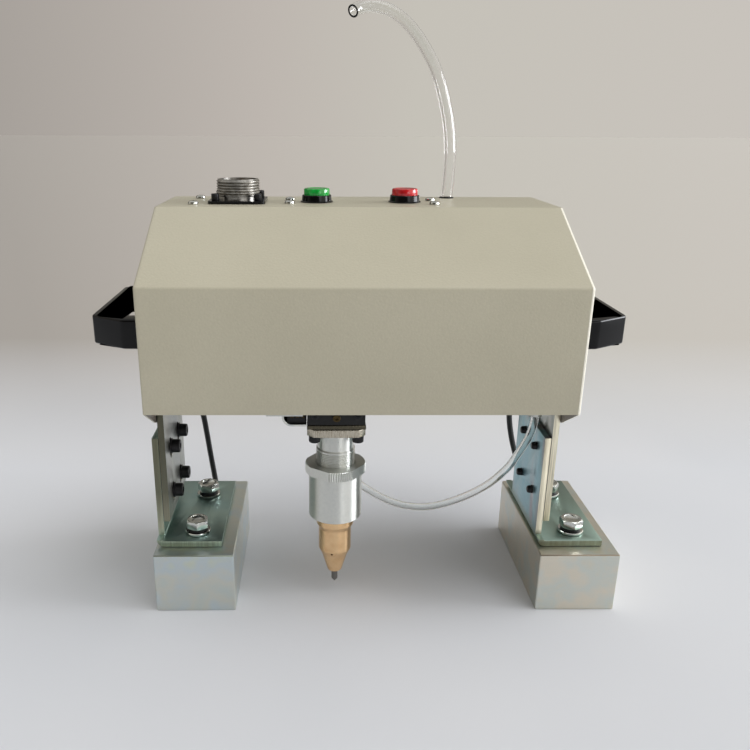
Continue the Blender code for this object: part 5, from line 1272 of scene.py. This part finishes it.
def make_cylinder():
    """Stylus cylinder: neck and fine thread under a square flange with four socket screws."""
    centre, low, high = middle_of("stylus_cylinder")
    level = high.z - FLANGE_HEIGHT
    body = turned_node("stylus_cylinder", CYLINDER, 96)
    dress(body, "cylinder_body", "y_carriage", "stylus_cylinder", ALUMINIUM, main=True, angle=28)
    flange = slab((low.x, low.y, level), high)
    for quarter in QUARTERS:
        inset = Vector((quarter[0] * FLANGE_CORNER, 0, 0))
        slice_off(flange, corner_of(low, high, quarter, level) - inset, Vector((*quarter, 0)))
    round_edges(flange, FLANGE_ROUND)
    drill(flange, FLANGE_HOLE, level - SHEET, level + SHEET, centre, sides=96)
    dress(flange, "cylinder_flange", "y_carriage", "stylus_cylinder", FLANGE_STEEL, angle=28)
    for i, quarter in enumerate(QUARTERS):
        spot = centre + Vector((*quarter, 0)) * FLANGE_SCREW_ASIDE + Vector((0, 0, level - CLEAR))
        screw = socket_screw(spot, *FLANGE_SCREW, "-Z")
        dress(screw, f"flange_screw_{i + 1}", "y_carriage", "stylus_cylinder", BLACK_OXIDE)


SLEEVE = (
    ("foot", ((16.2, 0.0), (16.7, 0.5))),
    ("top", ((16.7, -6.1), (18.3, -6.1), (18.8, -5.6), (18.8, -0.5), (18.3, 0.0), (12.5, 0.0))),
    ("top", ((12.3, -0.4),)),
    ("foot", ((12.3, 4.0), (9.8, 4.0), (9.8, 2.0))),
)
SLEEVE_HOLE = 9.8 * MM
RING_HEIGHT = 6.1 * MM
# The real knurl is finer: it is drawn at 1.5 mm so that it shows
KNURL_SIDES = 156
KNURL_DEPTH = 0.7 * MM
KNURL_EDGE = 0.3 * MM
RING_FLAT_FIRST = radians(233.4)
RING_FLAT_DEPTH = 1.7 * MM
RING_FLATS = 4


def make_sleeve():
    """Knurled sleeve: ring with spanner flats over a plain barrel, bored for the thread."""
    centre, low, high = middle_of("knurled_sleeve")
    radius = (high.x - low.x) / 2
    sleeve = turned_node("knurled_sleeve", SLEEVE, KNURL_SIDES)
    mouth = centre + Vector((0, 0, low.z))
    drill(sleeve, SLEEVE_HOLE, -SHEET, 2 * SHEET, mouth, sides=KNURL_SIDES)
    ring_low = high.z - RING_HEIGHT
    ridge(sleeve, centre, KNURL_SIDES, ring_low + KNURL_EDGE, high.z - KNURL_EDGE, radius, KNURL_DEPTH)
    for i in range(RING_FLATS):
        turn = RING_FLAT_FIRST + i * 2 * pi / RING_FLATS
        out = Vector((cos(turn), sin(turn), 0))
        slice_off(sleeve, centre + out * (radius - RING_FLAT_DEPTH), out)
    dress(sleeve, "knurled_ring_sleeve", "sleeve", "knurled_sleeve", ALUMINIUM, main=True, angle=14)


NOZZLE = (
    ("foot", (
        (3.4, 0.0), (4.0, 0.2), (4.5, 0.6), (4.75, 1.1), (8.25, 12.7), (8.4, 12.95), (10.3, 17.05),
        (10.4, 17.35), (10.4, 32.1), (10.5, 32.4), (11.7, 35.15), (11.85, 35.4), (11.85, 40.35),
        (11.6, 40.6), (9.5, 40.6),
    )),
    ("top", ((9.5, -3.0), (11.7, -3.0), (11.7, 0.0), (7.0, 0.0))),
    ("foot", ((7.0, 14.8), (2.25, 14.8), (2.25, 0.05))),
)
PIN_HOLE = 2.25 * MM
VENT_HOLE = 0.7 * MM
VENT_DEPTH = 9.0 * MM
VENT_SPOT = Vector((-2.0, -11.0, 16.2)) * MM


def make_nozzle():
    """Brass nozzle: cone, plain body and flared collar, with its small vent hole."""
    centre, low, _ = middle_of("nozzle")
    nozzle = turned_node("nozzle", NOZZLE, 96)
    mouth = centre + Vector((0, 0, low.z))
    drill(nozzle, PIN_HOLE, -SHEET, 2 * SHEET, mouth, sides=96)
    drill(nozzle, VENT_HOLE, 0, VENT_DEPTH, mouth + VENT_SPOT, "Y", 20)
    dress(nozzle, "brass_nozzle", "nozzle", "nozzle", BRASS, main=True, angle=9)


PIN = (
    ("foot", ((0.25, 0.0), (1.85, 2.0), (2.0, 2.3))),
    ("top", (
        (2.0, -7.0), (6.4, -7.0), (6.7, -6.7), (6.7, -4.6), (6.2, -4.4), (6.2, -2.6), (6.7, -2.4),
        (6.7, -0.3), (6.4, 0.0),
    )),
)


def make_pin():
    """Marking pin: ground carbide with its point, and the piston that drives it."""
    pin = turned_node("marking_pin", PIN, 56)
    dress(pin, "carbide_pin", "pin", "marking_pin", CARBIDE, main=True)


SPRING_WIRE = 0.9 * MM
SPRING_RADIUS = 4.5 * MM
SPRING_TURNS = 6
TURN_STEPS = 24


def make_spring():
    """Return spring: a helix between the ends of its node."""
    centre, low, high = middle_of("return_spring")
    start, end = low.z + SPRING_WIRE / 2, high.z - SPRING_WIRE / 2
    points = []
    for i in range(SPRING_TURNS * TURN_STEPS + 1):
        turn = 2 * pi * i / TURN_STEPS
        level = start + (end - start) * i / (SPRING_TURNS * TURN_STEPS)
        points.append(centre + Vector((cos(turn), sin(turn), 0)) * SPRING_RADIUS)
        points[-1].z = level
    spring = tube(points, SPRING_WIRE, resolution=3)
    dress(spring, "pin_spring", "nozzle", "return_spring", STEEL, main=True, angle=60)
    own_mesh(spring)


# Floor, backdrop and light

FLOOR_SIZE = 40.0
FLOOR_TONES = ((0.3, "#D5D7DC"), (0.7, "#DBDCE0"))
FLOOR_FADE = (0.15, 0.6)
FLOOR_CLOUD = 240 * MM
BACKDROP_SPAN = (-0.4, 0.5)
WALL_SPAN = (-0.37, 0.447)
# The backdrop cloth's tones, darker to the left: painted shade, shown by the wall and by the floor's far
# end
BACKDROP_SHADED_TONES = ((0.0, "#A6A09A"), (0.38, "#BDB6AF"), (0.6, "#C5C1B8"), (1.0, "#C8C3BC"))
ROOM_TONE = "#D0C9BC"
# Patches of the room that metal mirrors: degrees from before the machine, tone, gain and soft edge
ROOM_PATCHES = (
    (180, "#8A867E", 1.0, (0.6, 0.85)), (0, "#5E5A52", 1.0, (0.2, 0.75)), (80, "#F4F2EC", 1.6, (0.5, 0.59)),
    (28, "#FFFFFF", 2.6, (0.972, 0.988)), (-128, "#6A6B68", 1.0, (0.8, 0.92)),
)
CEILING_SPAN = (0.45, 0.8)
CEILING_TONE = "#D8D8D6"
ROOM_STRENGTH = 1.04
WALL_STRENGTH = 1.0
LAMP_TONE = "#F6F9FF"
# Lamps: power, spread and turn
LAMPS = (
    ("overhead", 0.5, radians(32), (radians(9), radians(18), 0)),
    ("window", 3.4, radians(34), (0, radians(83), radians(-1))),
)


def make_floor():
    """A pale floor that fades at its far end into the backdrop's tones, with their painted shade to the
    left.
    """
    bpy.ops.mesh.primitive_plane_add(size=FLOOR_SIZE, location=(0, 0, 0))
    floor = bpy.context.object
    floor.name = "floor"
    made, tree, shader = material("pale cloth", Roughness=0.95)
    near = blend_colours(tree, grain(tree, object_place(tree), FLOOR_CLOUD, 2.0), *FLOOR_TONES)
    place = node(tree, "SeparateXYZ", {0: object_place(tree)}).outputs
    reach = node(tree, "Math", {0: place["Y"], 1: CAMERA_BEFORE - FRONT_Y}, operation="ADD").outputs[0]
    aside = node(tree, "Math", {0: place["X"], 1: reach}, operation="DIVIDE").outputs[0]
    far = blend_colours(tree, remap(tree, aside, *BACKDROP_SPAN), *BACKDROP_SHADED_TONES)
    colour = mixed(tree, remap(tree, place["Y"], *FLOOR_FADE), near, far)
    tree.links.new(colour, shader.inputs["Base Color"])
    floor.data.materials.append(made)


def make_room():
    """The backdrop that the camera sees, and the room that lights the machine and is mirrored."""
    world = bpy.data.worlds.new("studio")
    bpy.context.scene.world = world
    world.use_nodes = True
    tree = world.node_tree
    tree.nodes.clear()
    path = node(tree, "LightPath").outputs
    rays = {0: path["Is Camera Ray"], 1: path["Is Transmission Ray"]}
    seen = node(tree, "Math", rays, operation="MAXIMUM").outputs[0]
    aim = node(tree, "TexCoord").outputs["Generated"]
    way = node(tree, "SeparateXYZ", {0: aim}).outputs
    room = linear(ROOM_TONE)
    for turn, tone, gain, edge in ROOM_PATCHES:
        angle = radians(turn)
        ends = {0: aim, 1: (sin(angle), -cos(angle), 0)}
        toward = node(tree, "VectorMath", ends, operation="DOT_PRODUCT").outputs["Value"]
        patch = [gain * value for value in linear(tone)]
        room = mixed(tree, remap(tree, toward, *edge), room, patch)
    room = mixed(tree, remap(tree, way["Z"], *CEILING_SPAN), room, linear(CEILING_TONE))
    # The wall the camera sees, with painted shade to the left
    wall = blend_colours(tree, remap(tree, way["X"], *WALL_SPAN), *BACKDROP_SHADED_TONES)
    shown = node(tree, "Background", {"Color": wall, "Strength": WALL_STRENGTH})
    light = node(tree, "Background", {"Color": room, "Strength": ROOM_STRENGTH})
    mix = node(tree, "MixShader", {0: seen, 1: light.outputs[0], 2: shown.outputs[0]})
    node(tree, "OutputWorld", {"Surface": mix.outputs[0]})


def make_lamps():
    """A soft lamp overhead and a low window at the right."""
    for name, power, spread, turn in LAMPS:
        data = bpy.data.lights.new(name, "SUN")
        data.energy = power
        data.angle = spread
        data.color = linear(LAMP_TONE)[:3]
        lamp = bpy.data.objects.new(name, data)
        lamp.rotation_euler = turn
        bpy.context.scene.collection.objects.link(lamp)
    bpy.context.scene.view_settings.view_transform = "Standard"


make_camera()
make_cords()
make_cover()
make_side_sheets()
make_handles()
make_top_screws()
make_connector_shell()
make_connector_core()
make_buttons()
make_inlet()
make_foot_bolts()
make_clamp_screws()
make_feet()
make_frame()
make_end_cap_details()
make_switch_tray()
make_home_switch()
make_cylinder()
make_sleeve()
make_nozzle()
make_pin()
make_spring()
make_floor()
make_room()
make_lamps()
